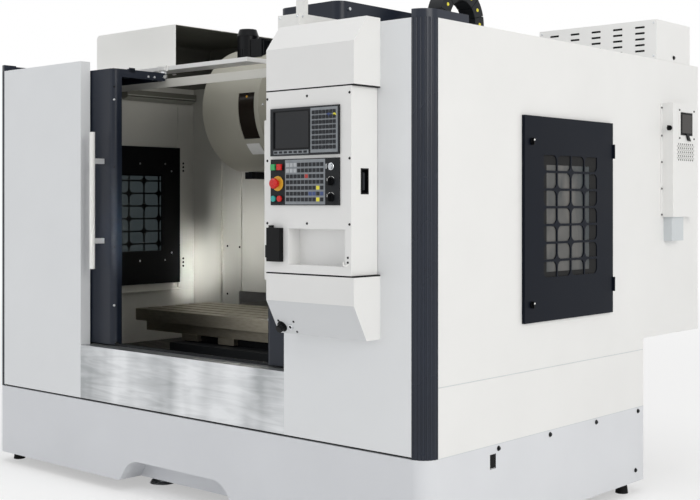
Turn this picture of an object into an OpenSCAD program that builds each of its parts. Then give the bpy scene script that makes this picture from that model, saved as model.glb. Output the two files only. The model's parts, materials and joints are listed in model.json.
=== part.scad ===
// Vertical machining centre: a cast bed and column inside a sheet metal enclosure, with a side
// tool magazine, two sliding doors and a swinging operator console. Millimetres, +Z up.
// Sizes are worked out in a machine frame: X from the centreline, Y back from the front
// panels, Z up from the floor. Every node is then moved so that the middle of the footprint
// is the origin.

/* [Enclosure] */
// Width over the side panels
body_w = 2700; // [2600:10:2800]
// Height of the side and front panels
body_h = 1924; // [1924:1:1960]
// Length of the base at floor level
base_len = 1560; // [1540:5:1580]
// Length of the enclosure above the overhang
upper_len = 2100; // [2080:5:2180]
// Gap under the base skirt
base_gap = 50; // [40:1:60]
// Top of the base skirt
base_top = 375; // [365:1:385]
// Dark joint between the base and the panels above it
base_joint = 8; // [4:1:12]
// Height of the front sill
sill_z = 625; // [620:1:640]
// Underside of the rear overhang
overhang_z = 675; // [670:1:720]
// Sheet metal thickness
sheet = 4; // [3:0.5:5]
// Width of the front opening between the fixed panels
opening_w = 1310; // [1290:2:1320]
// Depth of the fold at the side of the opening
panel_return = 54; // [40:1:56]
// Radius of the fluted corner columns
corner_r = 67; // [60:1:75]
// Number of flutes on each corner column
flute_count = 7; // [5:1:9]
// Distance from a side panel to the liner behind it
liner_gap = 36; // [30:1:40]
// Front of the inner back guard
guard_y = 1245; // [1235:1:1260]
// Front edge of the roof
roof_y = 396; // [390:1:420]
// Height of the roof's folded edge
roof_fold = 20; // [16:1:24]

/* [Doors] */
// Front face of the sliding doors
door_y = 60; // [58:1:62]
// Depth of a door's folded edges
door_depth = 48; // [40:1:52]
// Width of one door
door_w = 673; // [665:1:690]
// Leading edge of an open door, from the centreline
door_open = 490; // [470:5:510]
// Gap between the closed doors
door_gap = 4; // [2:1:8]
// Top of the doors
door_top = 1885; // [1880:1:1890]
// Rear end of the roof that each door carries
door_roof_y = 360; // [340:1:362]
// Depth of the fold around that roof
door_fold = 37; // [30:1:40]
// Length of a door handle
handle_len = 619; // [560:1:660]
// Lower end of a door handle
handle_z = 976; // [940:1:1000]
// Diameter of a door handle
handle_d = 25; // [20:1:30]
// Distance of a handle from the leading edge
handle_in = 76; // [50:1:80]

/* [Side windows] */
// Front edge of the window frame
window_y = 592; // [580:1:610]
// Length of the window frame
window_l = 674; // [650:2:680]
// Lower edge of the window frame
window_z = 811; // [800:1:830]
// Height of the window frame
window_h = 801; // [780:1:810]
// Columns of leaf shaped openings
leaf_cols = 4; // [3:1:4]
// Rows of leaf shaped openings
leaf_rows = 7; // [5:1:7]
// Spacing of the openings along the panel
leaf_pitch_y = 104; // [96:1:104]
// Spacing of the openings up the panel
leaf_pitch_z = 70; // [64:1:70]
// Width of the bars between the openings
leaf_bar = 9; // [8:1:20]
// Radius of the rounded corners of an opening
leaf_r = 24; // [16:1:26]

/* [Console] */
// Left edge of the console
console_x = 705; // [700:1:720]
// Width of the console
console_w = 436; // [420:1:450]
// How far the console stands out from the front panel
console_out = 143; // [135:1:150]
// Depth of the console at its bevelled ends
console_edge = 75; // [60:1:90]
// Lower end of the console
console_z0 = 786; // [780:1:800]
// Upper end of the console
console_z1 = 1936; // [1920:1:1950]
// Height of the lower bevel
bevel_low = 127; // [110:1:140]
// Height of the upper bevel
bevel_high = 93; // [80:1:110]
// Lower seam of the swinging box
box_z0 = 1016; // [1010:1:1025]
// Upper seam of the swinging box
box_z1 = 1688; // [1680:1:1700]
// Diameter of the emergency stop mushroom
stop_d = 40; // [34:1:40]
// Diameter of a round push button
button_d = 22; // [18:1:24]
// Travel of a push button
button_travel = 4; // [2:0.5:5]

/* [Axes] */
// Table length along X
table_l = 1000; // [960:5:1020]
// Table width along Y
table_w = 500; // [480:5:520]
// Table thickness
table_t = 58; // [50:1:70]
// Height of the table surface
table_top = 745; // [740:1:760]
// Number of T slots
slot_count = 5; // [3:1:5]
// Width of a T slot
slot_w = 18; // [14:1:22]
// Travel of the table along X
x_travel = 800; // [700:10:800]
// Travel of the saddle along Y
y_travel = 500; // [400:10:500]
// Travel of the head along Z
z_travel = 500; // [400:10:500]
// Distance from the spindle axis to the front of the column
throat = 561; // [555:1:570]
// Front face of the column
column_y = 1570; // [1566:1:1580]
// Height of the column
column_top = 2000; // [1980:5:2020]
// Width of the column
column_w = 600; // [560:5:620]
// Spindle nose height at the top of its travel
nose_z = 1430; // [1426:1:1460]
// Diameter of the ball screws
screw_d = 40; // [32:1:40]

/* [Tool magazine] */
// Outer radius of the magazine cover
drum_r = 316; // [312:1:320]
// Left end of the magazine cover, from the centreline
drum_x0 = 604; // [600:1:612]
// Right end of the magazine cover, from the centreline
drum_x1 = 206; // [203:1:214]
// Height of the magazine axis
drum_z = 1745; // [1745:1:1756]
// Number of tool pots
pot_count = 24; // [16:1:24]
// Radius of the ring of tool pots
pot_ring = 240; // [230:1:244]
// Diameter of a tool pot
pot_d = 56; // [50:1:58]
// Length of a tool pot
pot_l = 85; // [70:1:88]
// Distance between the gripper centres of the exchange arm
arm_l = 600; // [580:2:610]
// Thickness of the exchange arm
arm_t = 34; // [28:1:36]

/* [Hidden] */
$fn = 48;

half_w = body_w / 2;
half_open = opening_w / 2;
panel_z0 = base_top + base_joint;
liner_x = half_w - sheet - liner_gap;
spindle_y = column_y - throat;
table_y = spindle_y - y_travel / 2;
table_x = -x_travel / 2;
power_out = 55;
cover_out = 4;
frame_t = 14;
latch_out = 12;
stop_out = 38;
mid_x = (power_out + cover_out - frame_t) / 2;
mid_y = (upper_len + latch_out - console_out - stop_out) / 2;

// A block given by its low and high limits along each axis.
module block(x, y, z)
    translate([x[0], y[0], z[0]]) cube([x[1] - x[0], y[1] - y[0], z[1] - z[0]]);

// A round bar along X, Y or Z, starting at the given point.
module bar_x(x, y, z, r) translate([x[0], y, z]) rotate([0, 90, 0]) cylinder(h = x[1] - x[0], r = r);
module bar_y(x, y, z, r) translate([x, y[1], z]) rotate([90, 0, 0]) cylinder(h = y[1] - y[0], r = r);
module bar_z(x, y, z, r) translate([x, y, z[0]]) cylinder(h = z[1] - z[0], r = r);

// A profile drawn in Y and Z, extruded along X from x[0] to x[1].
module along_x(x) translate([x[0], 0, 0]) rotate([90, 0, 90]) linear_extrude(x[1] - x[0]) children();
// A profile drawn in X and Z, extruded along Y from y[0] to y[1].
module along_y(y) translate([0, y[1], 0]) rotate([90, 0, 0]) linear_extrude(y[1] - y[0]) children();
// A profile drawn in X and Y, extruded along Z from z[0] to z[1].
module along_z(z) translate([0, 0, z[0]]) linear_extrude(z[1] - z[0]) children();

// From the machine frame to the part's own frame.
module placed() translate([-mid_x, -mid_y, 0]) children();
module both_sides() {
    children();
    mirror([1, 0, 0]) children();
}

// Base

toe_half = 370;
toe_half_top = 296;
toe_h = 97;
toe_d = 125;
toe_r = 110;
skirt_fold = 40;
skirt_bolts = [436, 793, 1150, 1509];

module skirt_plan(inset) {
    r = corner_r - inset;
    w = half_w - inset;
    hull_w = w - r;
    union() {
        translate([-w, corner_r]) square([2 * w, base_len - corner_r - inset]);
        translate([-hull_w, inset]) square([2 * hull_w, corner_r]);
        for (s = [-1, 1]) translate([s * (half_w - corner_r), corner_r]) circle(r = r, $fn = 64);
    }
}
module toe_profile(inset) {
    // the upper corners are rounded: each is cut off and a circle fills it
    r = toe_r - inset;
    slope = atan2(toe_h, toe_half - toe_half_top);
    t = r * tan(slope / 2);
    top = base_gap + toe_h - inset;
    x = toe_half_top - inset;
    union() {
        polygon([
            [-toe_half + inset, base_gap - 1], [-x - t * cos(slope), top - t * sin(slope)], [-x + t, top],
            [x - t, top], [x + t * cos(slope), top - t * sin(slope)], [toe_half - inset, base_gap - 1]
        ]);
        for (s = [-1, 1]) translate([s * (x - t), top - r]) circle(r = r, $fn = 64);
    }
}
module base_skirt() color("gainsboro") placed() {
    difference() {
        union() {
            difference() {
                along_z([base_gap, base_top]) skirt_plan(0);
                along_z([base_gap - 1, base_top - sheet]) skirt_plan(sheet);
                along_z([base_top - sheet - 1, base_top + 1]) skirt_plan(skirt_fold);
            }
            intersection() {
                along_y([0, toe_d]) toe_profile(-sheet);
                along_z([base_gap, base_top]) skirt_plan(0);
            }
        }
        along_y([-1, toe_d - sheet]) toe_profile(0);
        block([-bed_half - 6, bed_half + 6], [base_len - 60, base_len + 1], [base_gap - 1, base_top + 1]);
        for (y = skirt_bolts) bar_x([half_w - sheet - 1, half_w + 1], y, base_top - 17, 5);
        block([half_w - sheet - 1, half_w + 1], [skirt_bolts[0] - 55, skirt_bolts[0] - 17], [base_top - 88, base_top - 33]);
    }
    both_sides() for (y = [corner_r, base_len - 2 * corner_r])
        block([half_w - 90, half_w - sheet], [y, y + 60], [base_gap, base_gap + sheet]);
}

foot_x = half_w - 50;
foot_y = [corner_r + 30, base_len - 2 * corner_r + 30];
pad_y = [240, 1000, 1980];
pad_x = 360;
module foot(x, y, top, r, h) {
    bar_z(x, y, [h, top], r * 0.4);
    translate([x, y, 0]) cylinder(h = h, r1 = r, r2 = r * 0.85);
}
module levelling_feet() color("dimgray") placed() both_sides() {
    for (y = foot_y) foot(foot_x, y, base_gap, 28, 34);
    for (y = pad_y) foot(pad_x, y, bed_z0, 60, 14);
}

// Bed, column and guideways

bed_z0 = 60;
bed_top = 470;
bed_half = 430;
bed_y0 = 130;
bed_y1 = 2085;
trough_half = 100;
trough_z = 370;
y_rail_x = 300;
y_rail_w = 45;
y_rail_h = 38;
module bed_profile()
    polygon([
        [-bed_half, bed_z0], [bed_half, bed_z0], [bed_half, 150], [bed_half - 40, 190],
        [bed_half - 40, bed_top], [trough_half, bed_top], [trough_half, trough_z],
        [-trough_half, trough_z], [-trough_half, bed_top], [-bed_half + 40, bed_top],
        [-bed_half + 40, 190], [-bed_half, 150]
    ]);
module bed_casting() color("slategray") placed() difference() {
    along_y([bed_y0, bed_y1]) bed_profile();
    both_sides() for (i = [0:5])
        block([bed_half - 110, bed_half + 1], [bed_y0 + 60 + i * 310, bed_y0 + 300 + i * 310], [210, 430]);
}

trough_w = 70;
trough_d = 90;
arch_half = 120;
column_y1 = 2080;
module column_casting() color("slategray") placed() {
    column_body();
    cable_duct(chain_y[1], [chain_low[1] - z_travel / 2 - 20, chain_top_z - z_travel / 2 - 2]);
}
module column_body() difference() {
    union() {
        block([-column_w / 2, column_w / 2], [column_y, column_y1], [bed_top, column_top]);
        both_sides() along_y([column_y, column_y1])
            polygon([[column_w / 2 - 1, bed_top], [bed_half - 40, bed_top], [column_w / 2 - 1, 900]]);
    }
    block([-arch_half, arch_half], [column_y - 1, column_y1 + 1], [bed_top - 1, bed_top + 230]);
    block([-trough_w, trough_w], [column_y - 1, column_y + trough_d], [900, column_top + 1]);
    for (s = [-1, 1], i = [0:3])
        block([s * 145 - 105, s * 145 + 105], [column_y + 200, column_y1 + 1], [780 + i * 300, 1020 + i * 300]);
}

z_rail_x = 200;
z_rail_w = 34;
z_rail_h = 25;
z_rail_z0 = nose_z - 450;
module linear_rails() color("silver") placed() both_sides() {
    block([y_rail_x - y_rail_w / 2, y_rail_x + y_rail_w / 2], [bed_y0 + 20, column_y - 10],
          [bed_top, bed_top + y_rail_h]);
    block([z_rail_x - z_rail_w / 2, z_rail_x + z_rail_w / 2], [column_y - z_rail_h, column_y],
          [z_rail_z0, column_top - 10]);
}

// Drives

y_screw_z = bed_top - 30;
y_screw_y0 = bed_y0 + 10;
y_motor_y = column_y + 40;
z_screw_y = column_y + 30;
z_screw_z0 = z_rail_z0 + 20;
motor_half = 65;
arm_motor_x = -430;
arm_motor_y = spindle_y - 170;
arm_motor_r = 53;
arm_motor_top = 2135;
module servo(l) {
    difference() {
        block([-motor_half, motor_half], [-motor_half, motor_half], [0, l]);
        for (i = [0:3]) rotate([0, 0, 90 * i]) translate([motor_half, motor_half, 20])
            cylinder(h = l, r = 16);
    }
    translate([0, 0, l]) cylinder(h = 40, r = motor_half - 8);
}
module drive_motors() color("dimgray") placed() {
    translate([0, y_motor_y, y_screw_z + 100]) {
        translate([0, 0, -100]) rotate([-90, 0, 0]) servo(180);
        block([-arch_half, arch_half], [-20, 0], [-70, 100]);
    }
    translate([0, z_screw_y, column_top]) {
        block([-column_w / 4, column_w / 4], [-motor_half, motor_half], [0, 30]);
        translate([0, 0, 30]) servo(170);
    }
    translate([arm_motor_x, arm_motor_y, gear_top]) {
        cylinder(h = 20, r = arm_motor_r + 2);
        difference() {
            cylinder(h = arm_motor_top - gear_top - 34, r = arm_motor_r);
            for (i = [0:23]) rotate([0, 0, 15 * i]) translate([arm_motor_r - 3, -2, 60])
                cube([6, 4, arm_motor_top - gear_top - 160]);
        }
        translate([0, 0, arm_motor_top - gear_top - 34]) cylinder(h = 34, r1 = arm_motor_r + 2, r2 = arm_motor_r - 10);
    }
}
module screw_form(l) {
    difference() {
        cylinder(h = l, r = screw_d / 2);
        for (i = [0:3]) translate([0, 0, 12 + i * 8]) difference() {
            cylinder(h = 3, r = screw_d);
            translate([0, 0, -1]) cylinder(h = 5, r = screw_d / 2 - 2);
        }
    }
}
module y_screw() color("silver") placed()
    translate([0, y_screw_y0, y_screw_z]) rotate([-90, 0, 0]) screw_form(y_motor_y - 20 - y_screw_y0 - slide_gap);
module z_screw() color("silver") placed()
    translate([0, z_screw_y, z_screw_z0]) screw_form(column_top - z_screw_z0 - slide_gap);

// Saddle and table

fit = 0.05;
slide_gap = 0.3;
saddle_l = 560;
saddle_half = 600;
saddle_y0 = table_y - saddle_l / 2;
saddle_z0 = bed_top + y_rail_h + 12;
saddle_z1 = saddle_z0 + 80;
x_rail_dy = 170;
x_rail_w = 34;
x_rail_h = 30;
x_screw_z = saddle_z0 + 45;
block_l = 110;
x_block_dx = 130;
nut_half = 45;

module rail_block_y(x, y) difference() {
    block([x - 50, x + 50], [y, y + block_l], [bed_top + 8, saddle_z0]);
    block([x - y_rail_w / 2 - slide_gap, x + y_rail_w / 2 + slide_gap], [y - 1, y + block_l + 1],
          [bed_top, bed_top + y_rail_h + slide_gap]);
}
module saddle() color("slategray") placed() {
    difference() {
        union() {
            block([-saddle_half, saddle_half], [saddle_y0, saddle_y0 + saddle_l], [saddle_z0, saddle_z1]);
            for (s = [-1, 1])
                block([-saddle_half, saddle_half],
                      [table_y + s * x_rail_dy - x_rail_w / 2, table_y + s * x_rail_dy + x_rail_w / 2],
                      [saddle_z1, saddle_z1 + x_rail_h]);
            block([-nut_half, nut_half], [table_y - nut_half, table_y + nut_half],
                  [y_screw_z - 30, saddle_z0 + 1]);
            for (s = [-1, 1]) for (y = [saddle_y0 + 30, saddle_y0 + saddle_l - 30 - block_l])
                rail_block_y(s * y_rail_x, y);
        }
        block([-saddle_half - 1, saddle_half + 1], [table_y - 60, table_y + 60], [saddle_z0 + 20, saddle_z1 + 1]);
        bar_y(0, [table_y - 60, table_y + 60], y_screw_z, screw_d / 2 + fit);
    }
    for (s = [-1, 1]) difference() {
        block([s * (saddle_half - 15) - 15, s * (saddle_half - 15) + 15], [table_y - 60, table_y + 60],
              [saddle_z0 + 20, saddle_z1 + 10]);
        bar_x([s * (saddle_half - 15) - 16, s * (saddle_half - 15) + 16], table_y, x_screw_z, screw_d / 2 + fit);
    }
    translate([saddle_half, table_y, x_screw_z]) rotate([0, 90, 0]) translate([0, 0, 20]) servo(150);
    block([saddle_half, saddle_half + 20], [table_y - motor_half, table_y + motor_half],
          [saddle_z0, x_screw_z + motor_half]);
    way_cover(2);
}
module x_screw() color("silver") placed()
    translate([-saddle_half + 2, table_y, x_screw_z]) rotate([0, 90, 0]) screw_form(2 * saddle_half - 4);

// Telescopic cover over the front of the Y guideways. Plate 0 is fixed to the bed, plate 1
// slides at half the saddle's travel and plate 2 is bolted to the saddle.
cover_l = 300;
cover_half = 408;
cover_step = 3.6;
cover_top = 528;
cover_t = 3;
cover_y = [bed_y0 + 8, (bed_y0 + 8 + saddle_y0 - cover_l) / 2, saddle_y0 - cover_l];
module way_cover(i) {
    w = cover_half + i * cover_step;
    top = cover_top + i * cover_step;
    low = bed_top + sheet * (i + 1);
    difference() {
        along_y([cover_y[i], cover_y[i] + cover_l])
            polygon([[-w, low], [-w, top - 24], [-w + 60, top], [w - 60, top], [w, top - 24], [w, low]]);
        along_y([cover_y[i] - 1, cover_y[i] + cover_l + 1])
            polygon([
                [-w + cover_t, bed_top], [-w + cover_t, top - 26], [-w + 61, top - cover_t],
                [w - 61, top - cover_t], [w - cover_t, top - 26], [w - cover_t, bed_top]
            ]);
    }
}
module way_cover_mid() color("lightslategray") placed() way_cover(1);

table_z0 = table_top - table_t;
web_z0 = saddle_z1 + x_rail_h + 6;
t_head_w = 30;
t_head_h = 14;
t_depth = 32;
slot_pitch = 90;
module t_slot(y) {
    block([-table_l, table_l], [y - slot_w / 2, y + slot_w / 2], [table_top - t_depth, table_top + 1]);
    block([-table_l, table_l], [y - t_head_w / 2, y + t_head_w / 2], [table_top - t_depth, table_top - t_depth + t_head_h]);
}
module table() color("silver") placed() translate([table_x, 0, 0]) {
    difference() {
        union() {
            block([-table_l / 2, table_l / 2], [table_y - table_w / 2, table_y + table_w / 2],
                  [table_z0, table_top]);
            block([-table_l / 2 + 30, table_l / 2 - 30], [table_y - table_w / 2 + 45, table_y + table_w / 2 - 45],
                  [web_z0, table_z0]);
            for (sx = [-1, 1], sy = [-1, 1])
                block([sx * x_block_dx - block_l / 2, sx * x_block_dx + block_l / 2],
                      [table_y + sy * x_rail_dy - 45, table_y + sy * x_rail_dy + 45],
                      [saddle_z1 + 6, web_z0 + 1]);
            block([-nut_half, nut_half], [table_y - nut_half, table_y + nut_half], [saddle_z0 + 21, web_z0 + 1]);
        }
        for (i = [0:slot_count - 1]) t_slot(table_y + (i - (slot_count - 1) / 2) * slot_pitch);
        for (sy = [-1, 1])
            block([-table_l, table_l],
                  [table_y + sy * x_rail_dy - x_rail_w / 2 - slide_gap, table_y + sy * x_rail_dy + x_rail_w / 2 + slide_gap],
                  [saddle_z1, saddle_z1 + x_rail_h + slide_gap]);
        bar_x([-nut_half - 1, nut_half + 1], table_y, x_screw_z, screw_d / 2 + fit);
    }
}

// Head and spindle

head_half = 150;
head_y1 = column_y - 80;
carriage_y1 = column_y - 30;
carriage_half = 245;
carriage_z = [nose_z + 50, column_top - 10];
head_z = [nose_z + 170, column_top - 10];
housing_r = 105;
shaft_r = 40;
nose_r = 64;
hood_half = 202;
hood_y = [822, head_y1];
hood_z = [2010, 2213];
front_plate_z = 2060;
hood_corner = 55;
taper_r = 35;
module rail_block_z(x, z) difference() {
    block([x - 45, x + 45], [carriage_y1, column_y - 6], [z, z + block_l]);
    block([x - z_rail_w / 2 - slide_gap, x + z_rail_w / 2 + slide_gap],
          [column_y - z_rail_h - slide_gap, column_y], [z - 1, z + block_l + 1]);
}
module head_casting() color("gainsboro") placed() {
    difference() {
        union() {
            block([-head_half, head_half], [spindle_y, head_y1], head_z);
            bar_z(0, spindle_y, head_z, head_half);
            bar_z(0, spindle_y, [nose_z + 40, head_z[0] + 1], housing_r);
            block([-carriage_half, carriage_half], [head_y1, carriage_y1], carriage_z);
            block([-nut_half, nut_half], [carriage_y1 - 1, z_screw_y + nut_half], [carriage_z[0] + 200, carriage_z[0] + 300]);
        }
        bar_z(0, spindle_y, [nose_z + 39, nose_z + 161], shaft_r + fit);
        bar_z(0, z_screw_y, [carriage_z[0] + 199, carriage_z[0] + 301], screw_d / 2 + fit);
    }
    for (x = [-z_rail_x, z_rail_x]) for (z = [carriage_z[0] + 10, carriage_z[1] - 10 - block_l])
        rail_block_z(x, z);
    block([head_half - 1, column_w / 2 + 1], [chain_y[0] - 18, chain_y[0] + 18], chain_arm_z);
    cable_duct(chain_y[0], [chain_low[0] - 20, carriage_z[1]]);
    bar_z(0, spindle_y, [head_z[1], hood_z[1] - 24], 110);
    block([-hood_half + hood_corner, hood_half - hood_corner], [hood_y[0] + sheet, hood_y[0] + sheet + 8],
          [nose_z + 230, front_plate_z + 40]);
    for (s = [-1, 1])
        block([s * 120 - 10, s * 120 + 10], [hood_y[0] + sheet + 8, spindle_y], [nose_z + 400, nose_z + 420]);
}
module head_cover() color("darkslategray") placed() difference() {
    hull_cover(0, hood_z[1]);
    hull_cover(sheet, hood_z[1] - sheet);
    block([-hood_half - 1, hood_half + 1], [hood_y[0] - 1, hood_y[0] + 60], [hood_z[0] - 1, front_plate_z]);
}
module hull_cover(inset, top) {
    r = hood_corner;
    w = hood_half - inset;
    along_z([hood_z[0] - inset, top]) union() {
        translate([-w, hood_y[0] + r]) square([2 * w, hood_y[1] - hood_y[0] - r + inset]);
        translate([-hood_half + r, hood_y[0] + inset]) square([2 * (hood_half - r), r]);
        for (s = [-1, 1]) translate([s * (hood_half - r), hood_y[0] + r]) circle(r = r - inset);
    }
}
module spindle() color("silver") placed() difference() {
    union() {
        bar_z(0, spindle_y, [nose_z, nose_z + 36], nose_r);
        bar_z(0, spindle_y, [nose_z + 35, nose_z + 160], shaft_r);
        for (s = [-1, 1]) block([s * 48 - 8, s * 48 + 8], [spindle_y - 8, spindle_y + 8], [nose_z - 5, nose_z + 1]);
    }
    translate([0, spindle_y, nose_z - 1]) cylinder(h = 102, r1 = taper_r, r2 = taper_r - 15);
}

// Tool magazine

// The pots open to the left. The lowest one tips down on a pin, so that it stands over the
// end of the exchange arm.
gear_x = [-470, -drum_x1 - sheet];
gear_y = [spindle_y - 229, spindle_y + 141];
gear_z0 = drum_z - 300;
gear_top = drum_z + 55;
disc_x0 = -500;
disc_t = 12;
arm_x = -arm_l / 2;
arm_z1 = gear_z0 - 21;
stem_r = 25;
boss_r = 18;
axle_r = 30;
slot_half = 62;
bracket_x = [-360, -262];
pot_low = drum_z - pot_ring;
pin_drop = 40;
pot_pin = [arm_x - arm_l / 2 + pin_drop, pot_low - pin_drop];
module drum_bore(x, r) bar_x(x, spindle_y, drum_z, r);
module magazine_cover() color("whitesmoke") placed() difference() {
    drum_bore([-drum_x0, -drum_x1], drum_r, $fn = 96);
    drum_bore([-drum_x0 - 1, -drum_x1 - sheet], drum_r - sheet, $fn = 96);
    drum_bore([-drum_x1 - sheet - 1, -drum_x1 + 1], 100);
    // slot under the drum for the tipping pot and the arm shaft
    block([-drum_x0 - 1, gear_x[1] - 40], [spindle_y - slot_half, spindle_y + slot_half],
          [drum_z - drum_r - 1, drum_z - drum_r + 60]);
    bar_z(arm_motor_x, arm_motor_y, [drum_z + 100, drum_z + drum_r + 1], arm_motor_r + 6);
    // window in the front of the drum
    block([-348, -236], [spindle_y - drum_r - 1, spindle_y - drum_r + 90], [drum_z - 160, drum_z + 60]);
    // way through for the bracket to the column
    block([bracket_x[0] - 8, bracket_x[1] + 8], [spindle_y + 200, spindle_y + drum_r + 1], [drum_z - 155, drum_z + 15]);
}
module arm_gearbox() color("slategray") placed() difference() {
    union() {
        intersection() {
            block(gear_x, gear_y, [gear_z0, gear_top]);
            drum_bore(gear_x, drum_r - sheet - 3, $fn = 96);
        }
        block(bracket_x, [gear_y[1] - 1, column_y], [drum_z - 145, drum_z + 5]);
        block([-column_w / 2 - 60, -column_w / 2], [column_y - 40, column_y + 200], [drum_z - 245, drum_z + 105]);
    }
    drum_bore([gear_x[0] - 1, gear_x[0] + 60], axle_r + fit);
    bar_z(arm_x, spindle_y, [gear_z0 - 1, gear_z0 + 200], stem_r + fit);
}
module pot_form() difference() {
    translate([-pot_l, 0, 0]) rotate([0, 90, 0]) cylinder(h = pot_l, r = pot_d / 2);
    translate([-pot_l - 1, 0, 0]) rotate([0, 90, 0]) cylinder(h = pot_l - 12, r1 = pot_d / 2 - 4, r2 = pot_d / 2 - 16);
}
module magazine_disc() color("silver") placed() {
    difference() {
        drum_bore([disc_x0, disc_x0 + disc_t], pot_ring + 20, $fn = 96);
        for (i = [0:5]) translate([disc_x0 - 1, spindle_y, drum_z]) rotate([60 * i + 30, 0, 0])
            translate([0, 130, 0]) rotate([0, 90, 0]) cylinder(h = disc_t + 2, r = 42);
    }
    drum_bore([disc_x0 + disc_t, gear_x[0] + 55], axle_r);
    for (i = [1:pot_count - 1]) translate([disc_x0, spindle_y, drum_z]) rotate([-90 + i * 360 / pot_count, 0, 0])
        translate([0, pot_ring, 0]) pot_form();
    // fork and pin that carry the tipping pot
    block([disc_x0, disc_x0 + disc_t], [spindle_y - 12, spindle_y + 12], [pot_pin[1] - 8, pot_low - 18]);
    for (y = [spindle_y - 12, spindle_y + 7])
        block([pot_pin[0] - 8, disc_x0 + 1], [y, y + 5], [pot_pin[1] - 8, pot_pin[1] + 9]);
    bar_y(pot_pin[0], [spindle_y - 12, spindle_y + 12], pot_pin[1], 4 - fit);
}
module change_pot() color("whitesmoke") placed() difference() {
    union() {
        translate([disc_x0 - 0.5, spindle_y, pot_low]) pot_form();
        block([pot_pin[0] - 9, pot_pin[0] + 9], [spindle_y - 6, spindle_y + 6], [pot_pin[1] - 7, pot_low - pot_d / 2 + 3]);
    }
    bar_y(pot_pin[0], [spindle_y - 7, spindle_y + 7], pot_pin[1], 4);
}
module arm_shaft() color("silver") placed() {
    bar_z(arm_x, spindle_y, [arm_z1, gear_z0 + 190], stem_r);
    bar_z(arm_x, spindle_y, [arm_z1 - arm_t + 6, arm_z1 + 1], boss_r);
}
grip_r = 36;
module arm_half() difference() {
    union() {
        polygon([[-48, -10], [-30, arm_l / 2 - 60], [-54, arm_l / 2 - 10], [-54, arm_l / 2 + 20], [54, arm_l / 2 + 20],
                 [54, arm_l / 2 - 10], [30, arm_l / 2 - 60], [48, -10]]);
    }
    translate([0, arm_l / 2]) circle(r = grip_r);
    translate([0, arm_l / 2 - grip_r * 0.8]) square([60, 60 + grip_r * 0.8]);
}
module exchange_arm() color("dimgray") placed() difference() {
    translate([arm_x, spindle_y, arm_z1 - arm_t]) union() {
        cylinder(h = arm_t, r = 62);
        linear_extrude(arm_t) arm_half();
        rotate([0, 0, 180]) linear_extrude(arm_t) arm_half();
    }
    bar_z(arm_x, spindle_y, [arm_z1 - arm_t + 5, arm_z1 + 1], boss_r + fit);
}

// Front, side and back panels

module folded_front_panel() {
    block([half_open, half_w - corner_r], [0, sheet], [panel_z0, body_h]);
    block([half_open, half_open + sheet], [sheet, panel_return], [panel_z0, body_h]);
    block([half_open + sheet, half_w - corner_r], [sheet, 40], [body_h - sheet, body_h]);
    block([half_open + sheet, half_w - corner_r], [sheet, 40], [panel_z0, panel_z0 + sheet]);
    block([half_open + 6, half_w - corner_r], [12, 40], [base_top, panel_z0]);
}
module front_panels() color("lightgray") placed() both_sides() folded_front_panel();

sill_d = 126;
module front_apron() color("silver") placed() {
    block([-half_open, half_open], [0, sheet], [panel_z0, sill_z]);
    block([-half_open, half_open], [sheet, sill_d], [sill_z - sheet, sill_z]);
    block([-half_open, half_open], [12, 40], [base_top, panel_z0]);
    block([-half_open, half_open], [sheet, 40], [panel_z0, panel_z0 + sheet]);
}

flute_r = 4;
module column_plan() difference() {
    translate([half_w - corner_r, corner_r]) intersection() {
        circle(r = corner_r, $fn = 96);
        translate([0, -corner_r]) square([corner_r, corner_r]);
    }
    translate([half_w - corner_r - 1, corner_r]) circle(r = corner_r - 8, $fn = 96);
    for (i = [0:flute_count - 1]) translate([half_w - corner_r, corner_r]) rotate(-90 + (i + 0.5) * 90 / flute_count)
        translate([corner_r + 1.5, 0]) circle(r = flute_r, $fn = 24);
}
cap_h = 30;
cap_strip = 182;
module corner_columns() color("darkslategray") placed() both_sides() {
    along_z([base_top, body_h]) column_plan();
    along_z([body_h, body_h + cap_h]) translate([half_w - corner_r, corner_r]) intersection() {
        circle(r = corner_r, $fn = 96);
        translate([0, -corner_r]) square([corner_r, corner_r]);
    }
    block([half_w - 30, half_w], [corner_r, corner_r + cap_strip], [body_h, body_h + cap_h]);
}

seam_d = 1.5;
seam_w = 3;
module side_profile(z0)
    polygon([
        [corner_r, z0], [base_len, z0], [base_len, overhang_z], [upper_len, overhang_z],
        [upper_len, body_h], [corner_r, body_h]
    ]);
module window_hole(x) block(x, [window_y + 30, window_y + window_l - 30], [window_z + 30, window_z + window_h - 30]);
module side_sheet() {
    difference() {
        along_x([half_w - sheet, half_w]) side_profile(base_top);
        block([half_w - seam_d, half_w + 1], [corner_r - 1, base_len + 1], [sill_z - seam_w / 2, sill_z + seam_w / 2]);
        window_hole([half_w - sheet - 1, half_w + 1]);
    }
    // folds that carry the sheet on the base and at its rear edge
    block([half_w - 30, half_w - sheet], [corner_r, base_len], [base_top, base_top + sheet]);
    block([half_w - 30, half_w - sheet], [upper_len - sheet, upper_len], [overhang_z + sheet, body_h]);
    block([half_w - 30, half_w - sheet], [base_len, upper_len], [overhang_z, overhang_z + sheet]);
}
module right_side_panel() color("whitesmoke") placed() side_sheet();
module left_side_panel() color("whitesmoke") placed() mirror([1, 0, 0]) side_sheet();

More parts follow.
